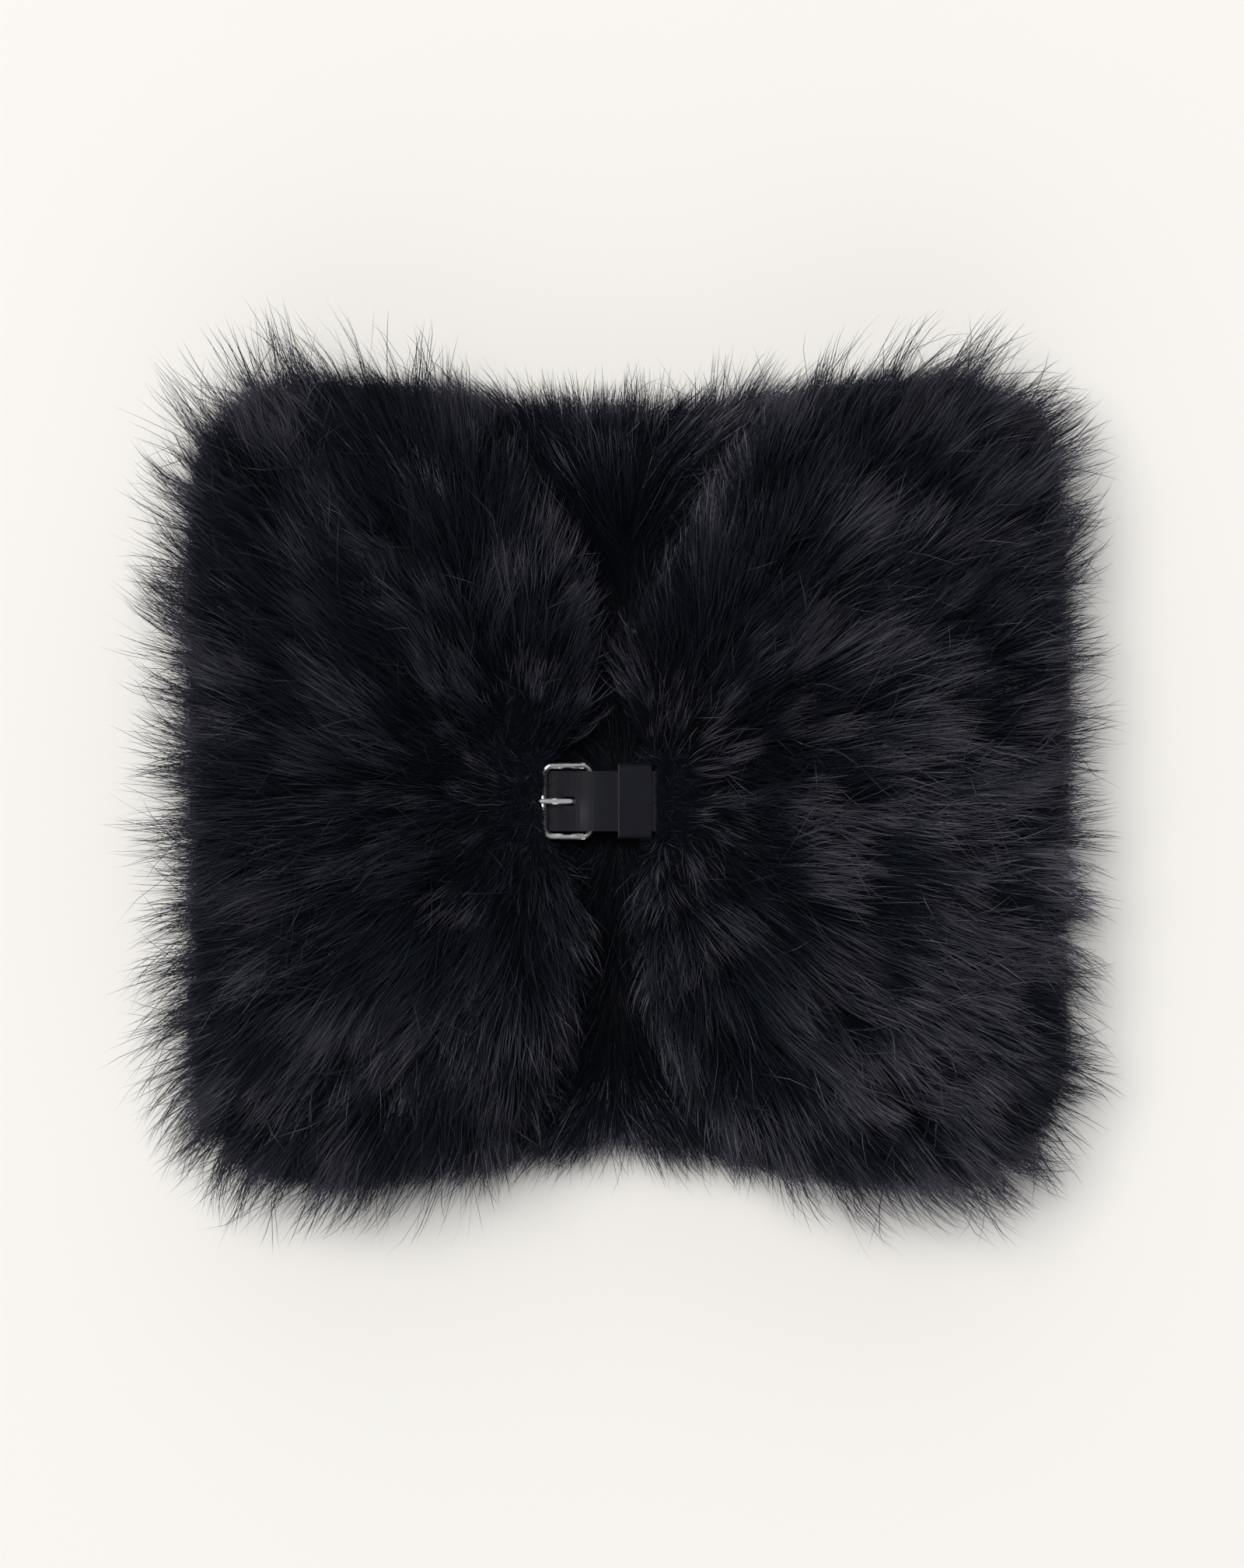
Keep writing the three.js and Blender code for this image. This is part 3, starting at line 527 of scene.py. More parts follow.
def wall_from(name, sheet, thick):
    """A closed thin wall: the sheet, a copy of it moved inwards, and strips round the borders."""
    columns, rows = sheet.points.shape[:2]
    outer = sheet.points.reshape(-1, 3)
    inner = (sheet.points - sheet.normals * thick).reshape(-1, 3)
    faces = grid_faces(columns, rows, sheet.closed)
    a, b, c = (outer[faces[:, k]] for k in (0, 1, 2))
    facing = np.einsum("ij,ij->i", np.cross(b - a, c - b), sheet.normals.reshape(-1, 3)[faces[:, 0]]).sum()
    if facing < 0:
        faces = faces[:, ::-1]
    count = len(outer)
    blocks = [faces, faces[:, ::-1] + count]
    edges = np.concatenate([faces[:, [k, (k + 1) % 4]] for k in range(4)])
    key = np.sort(edges, axis=1)
    _, inverse, times = np.unique(key[:, 0] * count + key[:, 1], return_inverse=True, return_counts=True)
    border = edges[times[inverse] == 1]
    blocks.append(np.stack([border[:, 1], border[:, 0], border[:, 0] + count, border[:, 1] + count], axis=1))
    return new_mesh(name, np.concatenate([outer, inner]), blocks)


def poisson(places, spacing):
    """Thins places so that those kept lie at least spacing apart."""
    roots = places["root"]
    kept = []
    taken = {}
    steps = list(itertools.product((-1, 0, 1), repeat=3))
    for index, point in enumerate(roots):
        x, y, z = (int(value) for value in point // spacing)
        cells = ((x + dx, y + dy, z + dz) for dx, dy, dz in steps)
        gaps = (roots[other] - point for cell in cells for other in taken.get(cell, ()))
        if all(gap @ gap >= spacing * spacing for gap in gaps):
            kept.append(index)
            taken.setdefault((x, y, z), []).append(index)
    return {key: value[kept] for key, value in places.items()}


def nearest_of(points, pool):
    """Index of the nearest of pool for each point."""
    tree = kdtree.KDTree(len(pool))
    for index, point in enumerate(pool):
        tree.insert(point, index)
    tree.balance()
    return np.array([tree.find(point)[1] for point in points])


def centre_lines(places, nap, length, rise, rest, bend, steps):
    """Points along hairs: they leave the backing at the angle rise and end lying down at the angle rest."""
    root, normal = places["root"], places["normal"]
    flat = np.column_stack([nap, np.zeros(len(nap))])
    lying = flat - normal * np.einsum("ij,ij->i", flat, normal)[:, None]
    clear = smooth((np.linalg.norm(lying, axis=1) - 0.15) / 0.5)[:, None] * 0.75
    way = unit(mix(flat, unit(lying), clear))
    aside = unit(np.cross(normal, way))
    inner = 4
    line = [root]
    point = root.copy()
    for k in range(1, len(steps)):
        for m in range(inner):
            s = mix(steps[k - 1], steps[k], (m + 0.5) / inner)
            part = (steps[k] - steps[k - 1]) / inner
            angle = mix(rest, rise, (1 - s) ** 1.6)[:, None]
            turned = unit(way + aside * (bend * (s - 0.3))[:, None])
            direction = turned * np.cos(angle) + normal * np.sin(angle)
            direction[:, 2] -= 0.08 * s
            point = point + direction * (length * part)[:, None]
        line.append(point.copy())
    return np.stack(line, axis=1)


def pull(lines, onto, strength, steps, power):
    """Draws hairs towards the middle line of their lock, more so at their tips."""
    share = (strength[:, None] * steps[None] ** power)[..., None]
    return lines + (onto - lines) * share


class Pile:
    """Hairs of one fur layer in locks and tufts, as ribbons."""

    def __init__(self, seed):
        self.rng = np.random.default_rng(seed)
        self.lines = []
        self.normals = []
        self.widths = []
        self.traits = []
        self.guards = []

    def add(self, lines, normals, width, lock_share, shade, light, guard):
        """Keeps hairs: lines, width, what colours them, how light their tips turn, which are guard hairs."""
        self.guards.append(guard)
        self.lines.append(lines)
        self.normals.append(normals)
        self.widths.append(width)
        self.traits.append(np.stack([lock_share, shade, light], axis=1))

    def grow(self, sheet, rim, nap_of, length_of, spacing, count, weight, look):
        """Locks, tufts in them and hairs in those, on a sheet."""
        rng = self.rng
        steps = RIBBON_AT
        warp = look["warp"]
        cells = sheet.cells()
        if weight is not None:
            cells = cells * (weight[:, :-1] if sheet.closed else weight[:-1, :-1])
        area = cells.sum()
        locks = poisson(sheet.scatter(int(area / spacing**2 * 5), rng, weight), spacing)
        close = spacing * look["tuft_share"]
        tufts = poisson(sheet.scatter(int(area / close**2 * 3), rng, weight), close)
        hairs = sheet.scatter(int(count * STRAND_SHARE), rng, weight)
        lift, swirl, curl = Waves(rng, 34), Waves(rng, 52), Waves(rng, 19)
        total = len(locks["root"])
        own_turn = rng.normal(0, look["lock_turn"], total)
        own_rise = np.clip(rng.normal(1, 0.2, total), 0.4, 1.5)
        own_rest = rng.normal(0, look["lock_rest"], total)
        own_bend = rng.normal(0, look["bend"], total)
        own_past = rng.uniform(0.7, 1.08, total)
        own_scale = np.clip(rng.normal(1, 0.14, total), 0.65, 1.4)
        bright = rng.random(total) < look["bright"]
        own_light = np.where(bright, rng.uniform(0.85, 1.15, total), rng.uniform(0.35, 0.62, total))
        own_guards = look["guards"] * np.where(bright, 1.45, 0.5)

        def lines_of(places, lock, spread, scale, past, extra=0.0, stand=0.0):
            root = places["root"]
            count = len(root)
            turn = own_turn[lock] + rng.normal(0, spread, count)
            turn = turn + look["swirl"] * (swirl(root) + 0.7 * curl(root))
            nap = nap_of(places)
            turned_x = nap[:, 0] * np.cos(turn) - nap[:, 1] * np.sin(turn)
            turned_y = nap[:, 0] * np.sin(turn) + nap[:, 1] * np.cos(turn)
            nap = np.stack([turned_x, turned_y], axis=1)
            length = rim.trimmed(places, nap, length_of(places) * own_scale[lock] * scale, past, extra)
            wave = (1 + 0.2 * lift(root)) * look["stand"](root)
            rise = look["rise"] * wave * own_rise[lock] * np.clip(rng.normal(1, spread, count), 0.3, 1.8)
            rise = np.minimum(rise, 1.45)
            rest = look["rest"] * wave + own_rest[lock] + rng.normal(0, spread * 0.35, count) + stand
            bend = own_bend[lock] + rng.normal(0, spread, count)
            return centre_lines(places, nap, length, rise, rest, bend, steps)

        lock_lines = lines_of(locks, np.arange(total), 0.0, 0.9, own_past * 0.6)
        in_lock = nearest_of(warp(tufts["root"]), warp(locks["root"]))
        tuft_scale = rng.normal(0.88, 0.12, len(in_lock))
        tuft_lines = lines_of(tufts, in_lock, look["tuft_turn"], tuft_scale, own_past[in_lock] * 0.6)
        strength = np.full(len(tuft_lines), look["lock_pull"])
        tuft_lines = pull(tuft_lines, lock_lines[in_lock], strength, steps, 1.3)
        in_tuft = nearest_of(warp(hairs["root"]), warp(tufts["root"]))
        lock = in_lock[in_tuft]
        count = len(lock)
        guard = rng.random(count) < own_guards[lock]
        free = rng.random(count) < look["free"]
        far = 0.03 + 1.1 * rng.random(count) ** 3.0
        scale = np.where(guard, rng.normal(1.0, 0.12, count) + 0.2 * far, rng.normal(0.62, 0.12, count))
        past = np.where(guard, own_past[lock] * far, 0.0)
        extra = rng.uniform(-4, 4, count)
        spread = look["hair_turn"] * np.where(guard, 1.0, 1.6) + np.where(free, 0.35, 0.0)
        stand = np.where(guard, 0.0, UNDER_STAND)
        lines = lines_of(hairs, lock, spread, np.clip(scale, 0.3, 1.5), past, extra, stand)
        strength = np.clip(rng.normal(look["tuft_pull"], 0.14, count), 0.1, 0.95) * np.where(guard, 1.0, 0.6)
        strength[free] *= 0.2
        lines = pull(lines, tuft_lines[in_tuft], strength, steps, 0.9)
        lines = rim.held_in(lines, past, extra)
        width = rng.uniform(look["thin"], look["wide"], count) * STRAND_WIDEN
        width = width + np.where(guard & (far > 0.4), LONG_HAIR_WIDER, 0.0)
        light = np.where(guard, own_light[lock] * look["light"](lines), 1.0)
        shade = rng.uniform(0, 0.5, count) + np.where(guard, 0.5, 0.0)
        self.add(lines, hairs["normal"], width, (lock * GOLDEN_SHARE) % 1.0, shade, light, guard)

    def build(self, name, material, guards, keep=None):
        """Ribbons in pieces of at most MOST_STRANDS hairs each, with a map of a cell for each hair."""
        rng = self.rng
        lines = np.concatenate(self.lines)
        normals = np.concatenate(self.normals)
        widths = np.concatenate(self.widths)
        traits = np.concatenate(self.traits)
        kept = np.concatenate(self.guards)
        if guards is None:
            kept = np.ones(len(lines), bool)
        elif not guards:
            kept = ~kept
        if keep is not None:
            kept = kept & keep(lines, rng)
        lines, normals, widths, traits = lines[kept], normals[kept], widths[kept], traits[kept]
        order = rng.permutation(len(lines))
        pieces = max(1, math.ceil(len(lines) / MOST_STRANDS))
        made = []
        for k, chosen in enumerate(np.array_split(order, pieces)):
            part = (data[chosen] for data in (lines, normals, widths, traits))
            made.append(ribbons(f"{name}_{k + 1}", *part, material, rng))
        return made


def ribbons(name, lines, normals, widths, traits, material, rng):
    """One mesh of flat tapered hairs, each turned a little about its own length."""
    lines = lines.copy()
    over = np.maximum(lines[..., 2] - CEILING, 0)
    levelled = lines[..., 2] - over + CEILING_ROOM * np.tanh(over / CEILING_ROOM)
    lines[..., 2] = np.maximum(levelled, LOWEST_HAIR)
    count = len(lines)
    along = unit(np.gradient(lines, axis=1))
    side = unit(np.cross(along, normals[:, None]))
    face = unit(np.cross(side, along))
    roll = rng.normal(0, 0.65, count)[:, None, None]
    across = side * np.cos(roll) + face * np.sin(roll)
    half = (widths[:, None] * RIBBON_WIDTH[None] / 2)[..., None]
    left, right = lines - across * half, lines + across * half
    points = np.stack(
        [left[:, 0], right[:, 0], left[:, 1], right[:, 1], left[:, 2], right[:, 2], lines[:, 3]], axis=1
    )
    first = (np.arange(count) * 7)[:, None]
    quads = np.concatenate([first + [0, 1, 3, 2], first + [2, 3, 5, 4]])
    tips = first + [4, 5, 6]
    cells = math.ceil(math.sqrt(count))
    column, row = np.arange(count) % cells, np.arange(count) // cells
    aside = np.array([0.12, 0.88, 0.12, 0.88, 0.18, 0.82, 0.5])
    up = np.array([0.08, 0.08, 0.38, 0.38, 0.68, 0.68, 0.94])
    uv = np.stack([(column[:, None] + aside) / cells, (row[:, None] + up) / cells], axis=-1)
    reach = np.broadcast_to(np.array([0, 0, 0.36, 0.36, 0.72, 0.72, 1.0]), (count, 7))
    lock_share, shade = (np.broadcast_to(traits[:, k, None], (count, 7)) for k in (0, 1))
    values = np.stack([reach * traits[:, 2, None], lock_share, shade], axis=-1)
    made = new_mesh(name, points.reshape(-1, 3), [quads, tips], uv.reshape(-1, 2), values.reshape(-1, 3))
    made.data.materials.append(material)
    return made


def node(tree, kind, **inputs):
    """A shader node with its sockets set by name, or linked where a socket is given."""
    made = tree.nodes.new(kind)
    for key, value in inputs.items():
        socket = made.inputs[key.replace("_", " ")]
        if isinstance(value, bpy.types.NodeSocket):
            tree.links.new(value, socket)
        else:
            socket.default_value = value
    return made


def ramp(tree, value, stops):
    """A colour ramp over value."""
    made = tree.nodes.new("ShaderNodeValToRGB")
    for element, (place, colour) in zip(made.color_ramp.elements, (stops[0], stops[-1])):
        element.position = place
        element.color = (*colour, 1)
    for place, colour in stops[1:-1]:
        element = made.color_ramp.elements.new(place)
        element.color = (*colour, 1)
    tree.links.new(value, made.inputs["Fac"])
    return made.outputs["Color"]


def maths(tree, operation, first, second=None, third=None):
    """The value of a math node."""
    made = tree.nodes.new("ShaderNodeMath")
    made.operation = operation
    for index, value in enumerate((first, second, third)):
        if value is None:
            continue
        if isinstance(value, bpy.types.NodeSocket):
            tree.links.new(value, made.inputs[index])
        else:
            made.inputs[index].default_value = value
    return made.outputs[0]


def blend_colours(tree, mode, share, first, second):
    """Mixes two colours."""
    made = tree.nodes.new("ShaderNodeMix")
    made.data_type = "RGBA"
    made.blend_type = mode
    for socket, value in ((made.inputs[0], share), (made.inputs[6], first), (made.inputs[7], second)):
        if isinstance(value, bpy.types.NodeSocket):
            tree.links.new(value, socket)
        else:
            socket.default_value = value
    return made.outputs[2]


def noise(tree, coords, scale, detail, rough=0.5):
    """The value of a noise texture."""
    made = node(tree, "ShaderNodeTexNoise", Vector=coords, Scale=scale, Detail=detail, Roughness=rough)
    return made.outputs["Fac"]


def new_material(name):
    """A material with a bare tree, its shader and its tree."""
    material = bpy.data.materials.new(name)
    material.use_nodes = True
    tree = material.node_tree
    shader = tree.nodes["Principled BSDF"]
    return material, tree, shader


def object_coords(tree):
    """Coordinates fixed to the piece, in metres."""
    return tree.nodes.new("ShaderNodeTexCoord").outputs["Object"]


def fur_material(name, root, middle, tip, gloss):
    """Glossy hair, darker at the root as painted shade inside the pile, each hair and each lock with its own
    tone; a pale tip colour, as on the guard hairs, is a painted highlight.
    """
    material, tree, shader = new_material(name)
    traits = tree.nodes.new("ShaderNodeAttribute")
    traits.attribute_name = "pile"
    split = node(tree, "ShaderNodeSeparateXYZ", Vector=traits.outputs["Vector"])
    along, lock, hair = split.outputs[0], split.outputs[1], split.outputs[2]
    half_way = tuple(mix(a, b, 0.5) for a, b in zip(middle, tip))
    # Along each hair: painted shade at the root, then the tip colour, which on guard hairs is a painted
    # highlight
    colour = ramp(tree, along, [(0.0, root), (0.5, middle), (0.78, half_way), (1.0, tip)])
    steep = maths(tree, "MULTIPLY_ADD", hair, 2.8, -1.0)
    tone = maths(tree, "MAXIMUM", steep, maths(tree, "MULTIPLY_ADD", hair, 0.6, 0.7))
    of_lock = maths(tree, "MULTIPLY_ADD", lock, 0.5, 0.75)
    patch = maths(tree, "MULTIPLY_ADD", noise(tree, object_coords(tree), 55.0, 4.0, 0.6), 0.9, 0.55)
    tone = maths(tree, "MULTIPLY", maths(tree, "MULTIPLY", tone, of_lock), patch)
    grey = tree.nodes.new("ShaderNodeCombineColor")
    for socket in grey.inputs:
        tree.links.new(tone, socket)
    tree.links.new(blend_colours(tree, "MULTIPLY", 1.0, colour, grey.outputs[0]), shader.inputs["Base Color"])
    rough = node(tree, "ShaderNodeMapRange", Value=hair, From_Min=0.4, From_Max=0.6, To_Min=0.75, To_Max=0.40)
    tree.links.new(rough.outputs[0], shader.inputs["Roughness"])
    shader.inputs["Specular IOR Level"].default_value = gloss
    shader.inputs["Specular Tint"].default_value = (0.84, 0.81, 1.0, 1)
    return material


def pelt_material():
    """The backing and the short dense undercoat, almost black, combed in fine streaks."""
    material, tree, shader = new_material("fur_undercoat")
    coords = object_coords(tree)
    stretch = node(tree, "ShaderNodeMapping", Vector=coords, Scale=(160.0, 60.0, 160.0))
    streaks = noise(tree, stretch.outputs[0], 6.0, 6.0, 0.7)
    tufts = node(tree, "ShaderNodeTexVoronoi", Vector=coords, Scale=260.0)
    stops = [(0.3, (0.0008, 0.0009, 0.0012)), (0.7, (0.0035, 0.0036, 0.0046))]
    dark = ramp(tree, streaks, stops)
    tree.links.new(dark, shader.inputs["Base Color"])
    tree.links.new(maths(tree, "MULTIPLY_ADD", streaks, 0.2, 0.7), shader.inputs["Roughness"])
    shader.inputs["Specular IOR Level"].default_value = 0.12
    height = maths(tree, "ADD", streaks, tufts.outputs["Distance"])
    bump = node(tree, "ShaderNodeBump", Strength=0.7, Distance=0.0012, Height=height)
    tree.links.new(bump.outputs[0], shader.inputs["Normal"])
    return material


def leather_material(name, tone, gloss, polished=None, edge_highlight=None):
    """Smooth strap leather: fine pores, soft mottling, edges worn lighter, a patch polished by wear, and
    where asked a painted highlight line along its left edge.
    """
    material, tree, shader = new_material(name)
    coords = object_coords(tree)
    mottle = noise(tree, coords, 140.0, 5.0, 0.6)
    pores = node(tree, "ShaderNodeTexVoronoi", Vector=coords, Scale=2600.0)
    grain = noise(tree, coords, 1500.0, 6.0, 0.65)
    dark, pale = (tuple(level * c for c in tone) for level in (0.75, 1.35))
    base = ramp(tree, mottle, [(0.3, dark), (0.55, tone), (0.8, pale)])
    worn = tree.nodes.new("ShaderNodeNewGeometry").outputs["Pointiness"]
    edge = maths(tree, "MULTIPLY", maths(tree, "SUBTRACT", worn, 0.53), 5.0)
    edge = node(tree, "ShaderNodeClamp", Value=edge).outputs[0]
    # Painted highlight: a pale line along the piece's left edge, in the paler tone
    if edge_highlight is not None:
        across = node(tree, "ShaderNodeSeparateXYZ", Vector=coords).outputs[0]
        cut = maths(tree, "LESS_THAN", across, edge_highlight * MM)
        painted_edge_line = maths(tree, "MULTIPLY", cut, maths(tree, "ADD", mottle, 0.3))
        edge = maths(tree, "MAXIMUM", edge, painted_edge_line)
    worn_and_highlit = blend_colours(tree, "MIX", edge, base, (*RUBBED_AND_HIGHLIGHT_TONE, 1))
    tree.links.new(worn_and_highlit, shader.inputs["Base Color"])
    rough = maths(tree, "MULTIPLY_ADD", mottle, 0.14, 0.58)
    if polished is not None:
        place, reach = polished
        centre = (np.array(place) + SHIFT) * MM
        gap = node(tree, "ShaderNodeVectorMath", Vector=coords)
        gap.operation = "DISTANCE"
        gap.inputs[1].default_value = centre
        gap = gap.outputs["Value"]
        worn_in = node(tree, "ShaderNodeMapRange", Value=gap, From_Max=reach * MM, To_Min=-0.33, To_Max=0.0)
        worn_in.interpolation_type = "SMOOTHSTEP"
        rough = maths(tree, "ADD", rough, worn_in.outputs[0])
    tree.links.new(rough, shader.inputs["Roughness"])
    shader.inputs["Specular IOR Level"].default_value = gloss
    height = maths(tree, "MULTIPLY_ADD", pores.outputs["Distance"], 0.5, grain)
    bump = node(tree, "ShaderNodeBump", Strength=0.35, Distance=0.00012, Height=height)
    tree.links.new(bump.outputs[0], shader.inputs["Normal"])
    return material


def metal_material():
    """Polished plated wire, with faint handling marks."""
    material, tree, shader = new_material("polished_metal")
    coords = object_coords(tree)
    haze = noise(tree, coords, 320.0, 4.0, 0.6)
    marks = noise(tree, coords, 1800.0, 3.0)
    plating = ramp(tree, haze, [(0.3, (0.88, 0.87, 0.85)), (0.7, (0.96, 0.95, 0.93))])
    tree.links.new(plating, shader.inputs["Base Color"])
    shader.inputs["Metallic"].default_value = 1.0
    tree.links.new(maths(tree, "MULTIPLY_ADD", haze, 0.08, 0.13), shader.inputs["Roughness"])
    bump = node(tree, "ShaderNodeBump", Strength=0.05, Distance=0.00005, Height=marks)
    tree.links.new(bump.outputs[0], shader.inputs["Normal"])
    return material


def floor_material():
    """A pale matt surface."""
    material, tree, shader = new_material("pale_floor")
    cloudy = noise(tree, object_coords(tree), 2.0, 2.0)
    pale = ramp(tree, cloudy, [(0.3, (0.868, 0.842, 0.796)), (0.7, (0.872, 0.846, 0.80))])
    tree.links.new(pale, shader.inputs["Base Color"])
    shader.inputs["Roughness"].default_value = 0.9
    shader.inputs["Specular IOR Level"].default_value = 0.0
    return material


def radial_nap(source, combed=0.0, rim=None):
    """Away from a point in plan, combed towards the side, and fanned out along the openings."""
    origin = np.array(source)

    def nap(places):
        way = places["root"][:, :2] - origin
        angle = np.arctan2(way[:, 1], np.abs(way[:, 0]))
        angle = angle * (1 - combed * np.exp(-((angle / 0.95) ** 2)))
        way = np.stack([np.cos(angle) * np.sign(way[:, 0]), np.sin(angle)], axis=1)
        return way if rim is None else rim.fan(places["root"], way, 0.32, 24.0)

    return nap


def painted_light_of_front(side, rim):
    """How light the tips of a front turn, as painted light: duller on the left, lighter low on the right
    where the light falls, banded by its V with painted highlight and painted shade.
    """

    def light(lines):
        y = lines[:, 0, 1]
        if side == "left":
            return 0.82 + 0.05 * smooth((y - 40) / 50) - 0.05 * smooth((-y - 20) / 60)
        index, gap = nearest(lines[:, 0, :2], rim.edge)
        beside = rim.opening[index]
        # Along the V: a painted highlight above the strap and painted shade below it, then a painted-shade
        # trough further in
        ruff_light_and_shade = np.where(y > 0, 0.10, -0.12) * beside * np.exp(-(((gap - 8) / 8) ** 2))
        trough = 0.30 * beside * np.exp(-(((gap - 26) / 6) ** 2))
        return mix(0.82, 0.98, smooth((60 - y) / 50)) - 0.05 * smooth((-y - 30) / 50) + ruff_light_and_shade - trough

    return light


def stretched_from(source):
    """A space in which locks round a point reach further away from it than sideways."""

    def warp(points):
        away = points[:, :2] - np.array(source)
        reach = np.maximum(np.linalg.norm(away, axis=1), 12.0)
        return np.column_stack([33.0 * np.log(reach), 60.0 * away / reach[:, None]])

    return warp


def stand_and_shade_of_facing(root):
    """Low in the depth of the openings, with tips darkened there as painted shade, fuller and lighter towards
    the hems.
    """
    return mix(0.20, 1.0, smooth((from_strap(root[:, 1]) - 80) / 26))


def in_the_shaded_depth(lines, rng):
    """Hairs of the facing that lie deep between the fronts, which take the painted-shade material."""
    return from_strap(lines[:, 0, 1]) + rng.normal(0, 5, len(lines)) < 90


def less_below(sheet):
    """Thinner pile on the turned-under part of the rim, which is hardly seen."""
    columns, rows = sheet.points.shape[:2]
    return np.broadcast_to(1 - 0.45 * smooth((np.arange(rows) / rows - 0.86) / 0.1), (columns, rows))


def fanned_nap(places):
    """On the facing, in a wide fan from the depth of each opening towards its hem."""
    x, y = places["root"][:, 0], places["root"][:, 1]
    below = y < BUCKLE["y"]
    rise = np.where(below, np.minimum(y + 50, -12), np.maximum(y - 36, 12))
    return unit(np.stack([x * 1.9, rise], axis=1))


def even_length(length):
    """The same length all over."""
    return lambda places: np.full(len(places["root"]), length)


FRONTS = {
    "left": {
        "edge": LEFT_EDGE, "gather": GATHER_LEFT, "furrows": FURROWS_LEFT, "source": (-27.0, -8.0),
        "combed": 0.1, "bright": 0.45, "toward": 1,
    },
    "right": {
        "edge": RIGHT_EDGE, "gather": GATHER_RIGHT, "furrows": FURROWS_RIGHT, "source": (9.0, -8.0),
        "combed": 0.5, "bright": 0.55, "toward": -1,
    },
}
# How hairs rise and come to rest, how locks and tufts gather them, and how wide they are
PILE_LOOK = {
    "rise": 1.2, "rest": 0.16, "lock_rest": 0.13, "bend": 0.08, "swirl": 0.08, "lock_turn": 0.17,
    "tuft_turn": 0.14, "hair_turn": 0.17, "tuft_share": 0.36, "lock_pull": 0.4, "tuft_pull": 0.38,
    "free": 0.16, "guards": 0.45, "thin": 0.12, "wide": 0.23, "stand": lambda root: 1.0,
    "warp": lambda points: points,
}
# The facing's tips darken in the depth of the openings as painted shade
FACING_LOOK = {
    **PILE_LOOK, "rise": 0.6, "rest": 0.05, "swirl": 0.12, "lock_pull": 0.35, "tuft_pull": 0.4,
    "light": lambda lines: stand_and_shade_of_facing(lines[:, 0]), "stand": stand_and_shade_of_facing, "bright": 0.7,
}
BACK_LOOK = {**FACING_LOOK, "rise": 0.5, "rest": 0.04, "light": lambda lines: 0.7, "stand": lambda root: 1.0}


def is_fur(piece, replaced):
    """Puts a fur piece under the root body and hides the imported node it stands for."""
    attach(piece, "root")
    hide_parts(replaced)


def dress_front(side, cut, fur):
    """A front: its backing, and its pile, which keeps clear of the fastening."""
    sheet = front_sheet(cut["edge"], cut["gather"], cut["furrows"])
    wall = wall_from(f"front_{side}_pelt", sheet, FABRIC_THICK)
    wall.data.materials.append(fur["pelt"])
    is_fur(wall, f"front_{side}")

    def length_of(places):
        out = np.linalg.norm(places["root"][:, :2] - np.array([cut["gather"], BUCKLE["y"]]), axis=1)
        grown = mix(SHORT_HAIR, LONG_HAIR, smooth(out / LONG_FROM))
        return grown - LESS_AT_RIM * smooth((places["along"] - 0.8) / 0.2)

    rim = Rim(cut["edge"], False, *FRONT_REACH)
    # The front's tip lightness carries painted light and shade
    look = {
        **PILE_LOOK, "light": painted_light_of_front(side, rim), "bright": cut["bright"],
        "warp": stretched_from(cut["source"]),
    }
    nap = radial_nap(cut["source"], cut["combed"], rim)
    pile = Pile(SEEDS[side])
    pile.grow(sheet, rim, nap, length_of, FRONT_LOCKS, FRONT_HAIRS, less_below(sheet), look)
    throat_tufts(pile, cut["gather"], cut["toward"])
    pieces = pile.build(f"front_{side}_undercoat", fur["soft"], False, clear_of_buckle)
    pieces += pile.build(f"front_{side}_pile", fur["pile"], True, clear_of_buckle)
    for piece in pieces:
        is_fur(piece, f"front_{side}")


def dress_facing(fur):
    """The furred inside of the back, with painted shade darkest in the depth of the openings."""
    sheet = facing_sheet()
    wall = wall_from("back_inner_pelt", sheet, FABRIC_THICK)
    wall.data.materials.append(fur["pelt"])
    is_fur(wall, "back_inner")
    rim = Rim(FACING_EDGE, True, *FACING_REACH)
    weight = facing_weight(sheet)
    pile = Pile(SEEDS["facing"])
    length = even_length(FACING_HAIR)
    pile.grow(sheet, rim, fanned_nap, length, FACING_LOCKS, FACING_HAIRS, weight, FACING_LOOK)
    # Hairs deep between the fronts take the darker painted-shade material
    deep = in_the_shaded_depth(np.concatenate(pile.lines), np.random.default_rng(SEEDS["depth"]))
    pieces = pile.build("back_inner_shaded_depth", fur["deep"], None, lambda lines, rng: deep)
    pieces += pile.build("back_inner_undercoat", fur["soft"], False, lambda lines, rng: ~deep)
    pieces += pile.build("back_inner_pile", fur["pile"], True, lambda lines, rng: ~deep)
    for piece in pieces:
        is_fur(piece, "back_inner")


def dress_back(fur):
    """The back's outer layer, a pressed mat with pile round its rim."""
    mat = back_mat()
    mat.data.materials.append(fur["pelt"])
    is_fur(mat, "back_outer")
    rim = Rim(BACK_EDGE, True, *BACK_REACH)
    nap = radial_nap((0.0, -8.0))
    pile = Pile(SEEDS["back"])
    pile.grow(back_sheet(), rim, nap, even_length(BACK_HAIR), BACK_LOCKS, BACK_HAIRS, None, BACK_LOOK)
    pieces = pile.build("back_outer_undercoat", fur["soft"], False)
    pieces += pile.build("back_outer_pile", fur["pile"], True)
    for piece in pieces:
        is_fur(piece, "back_outer")


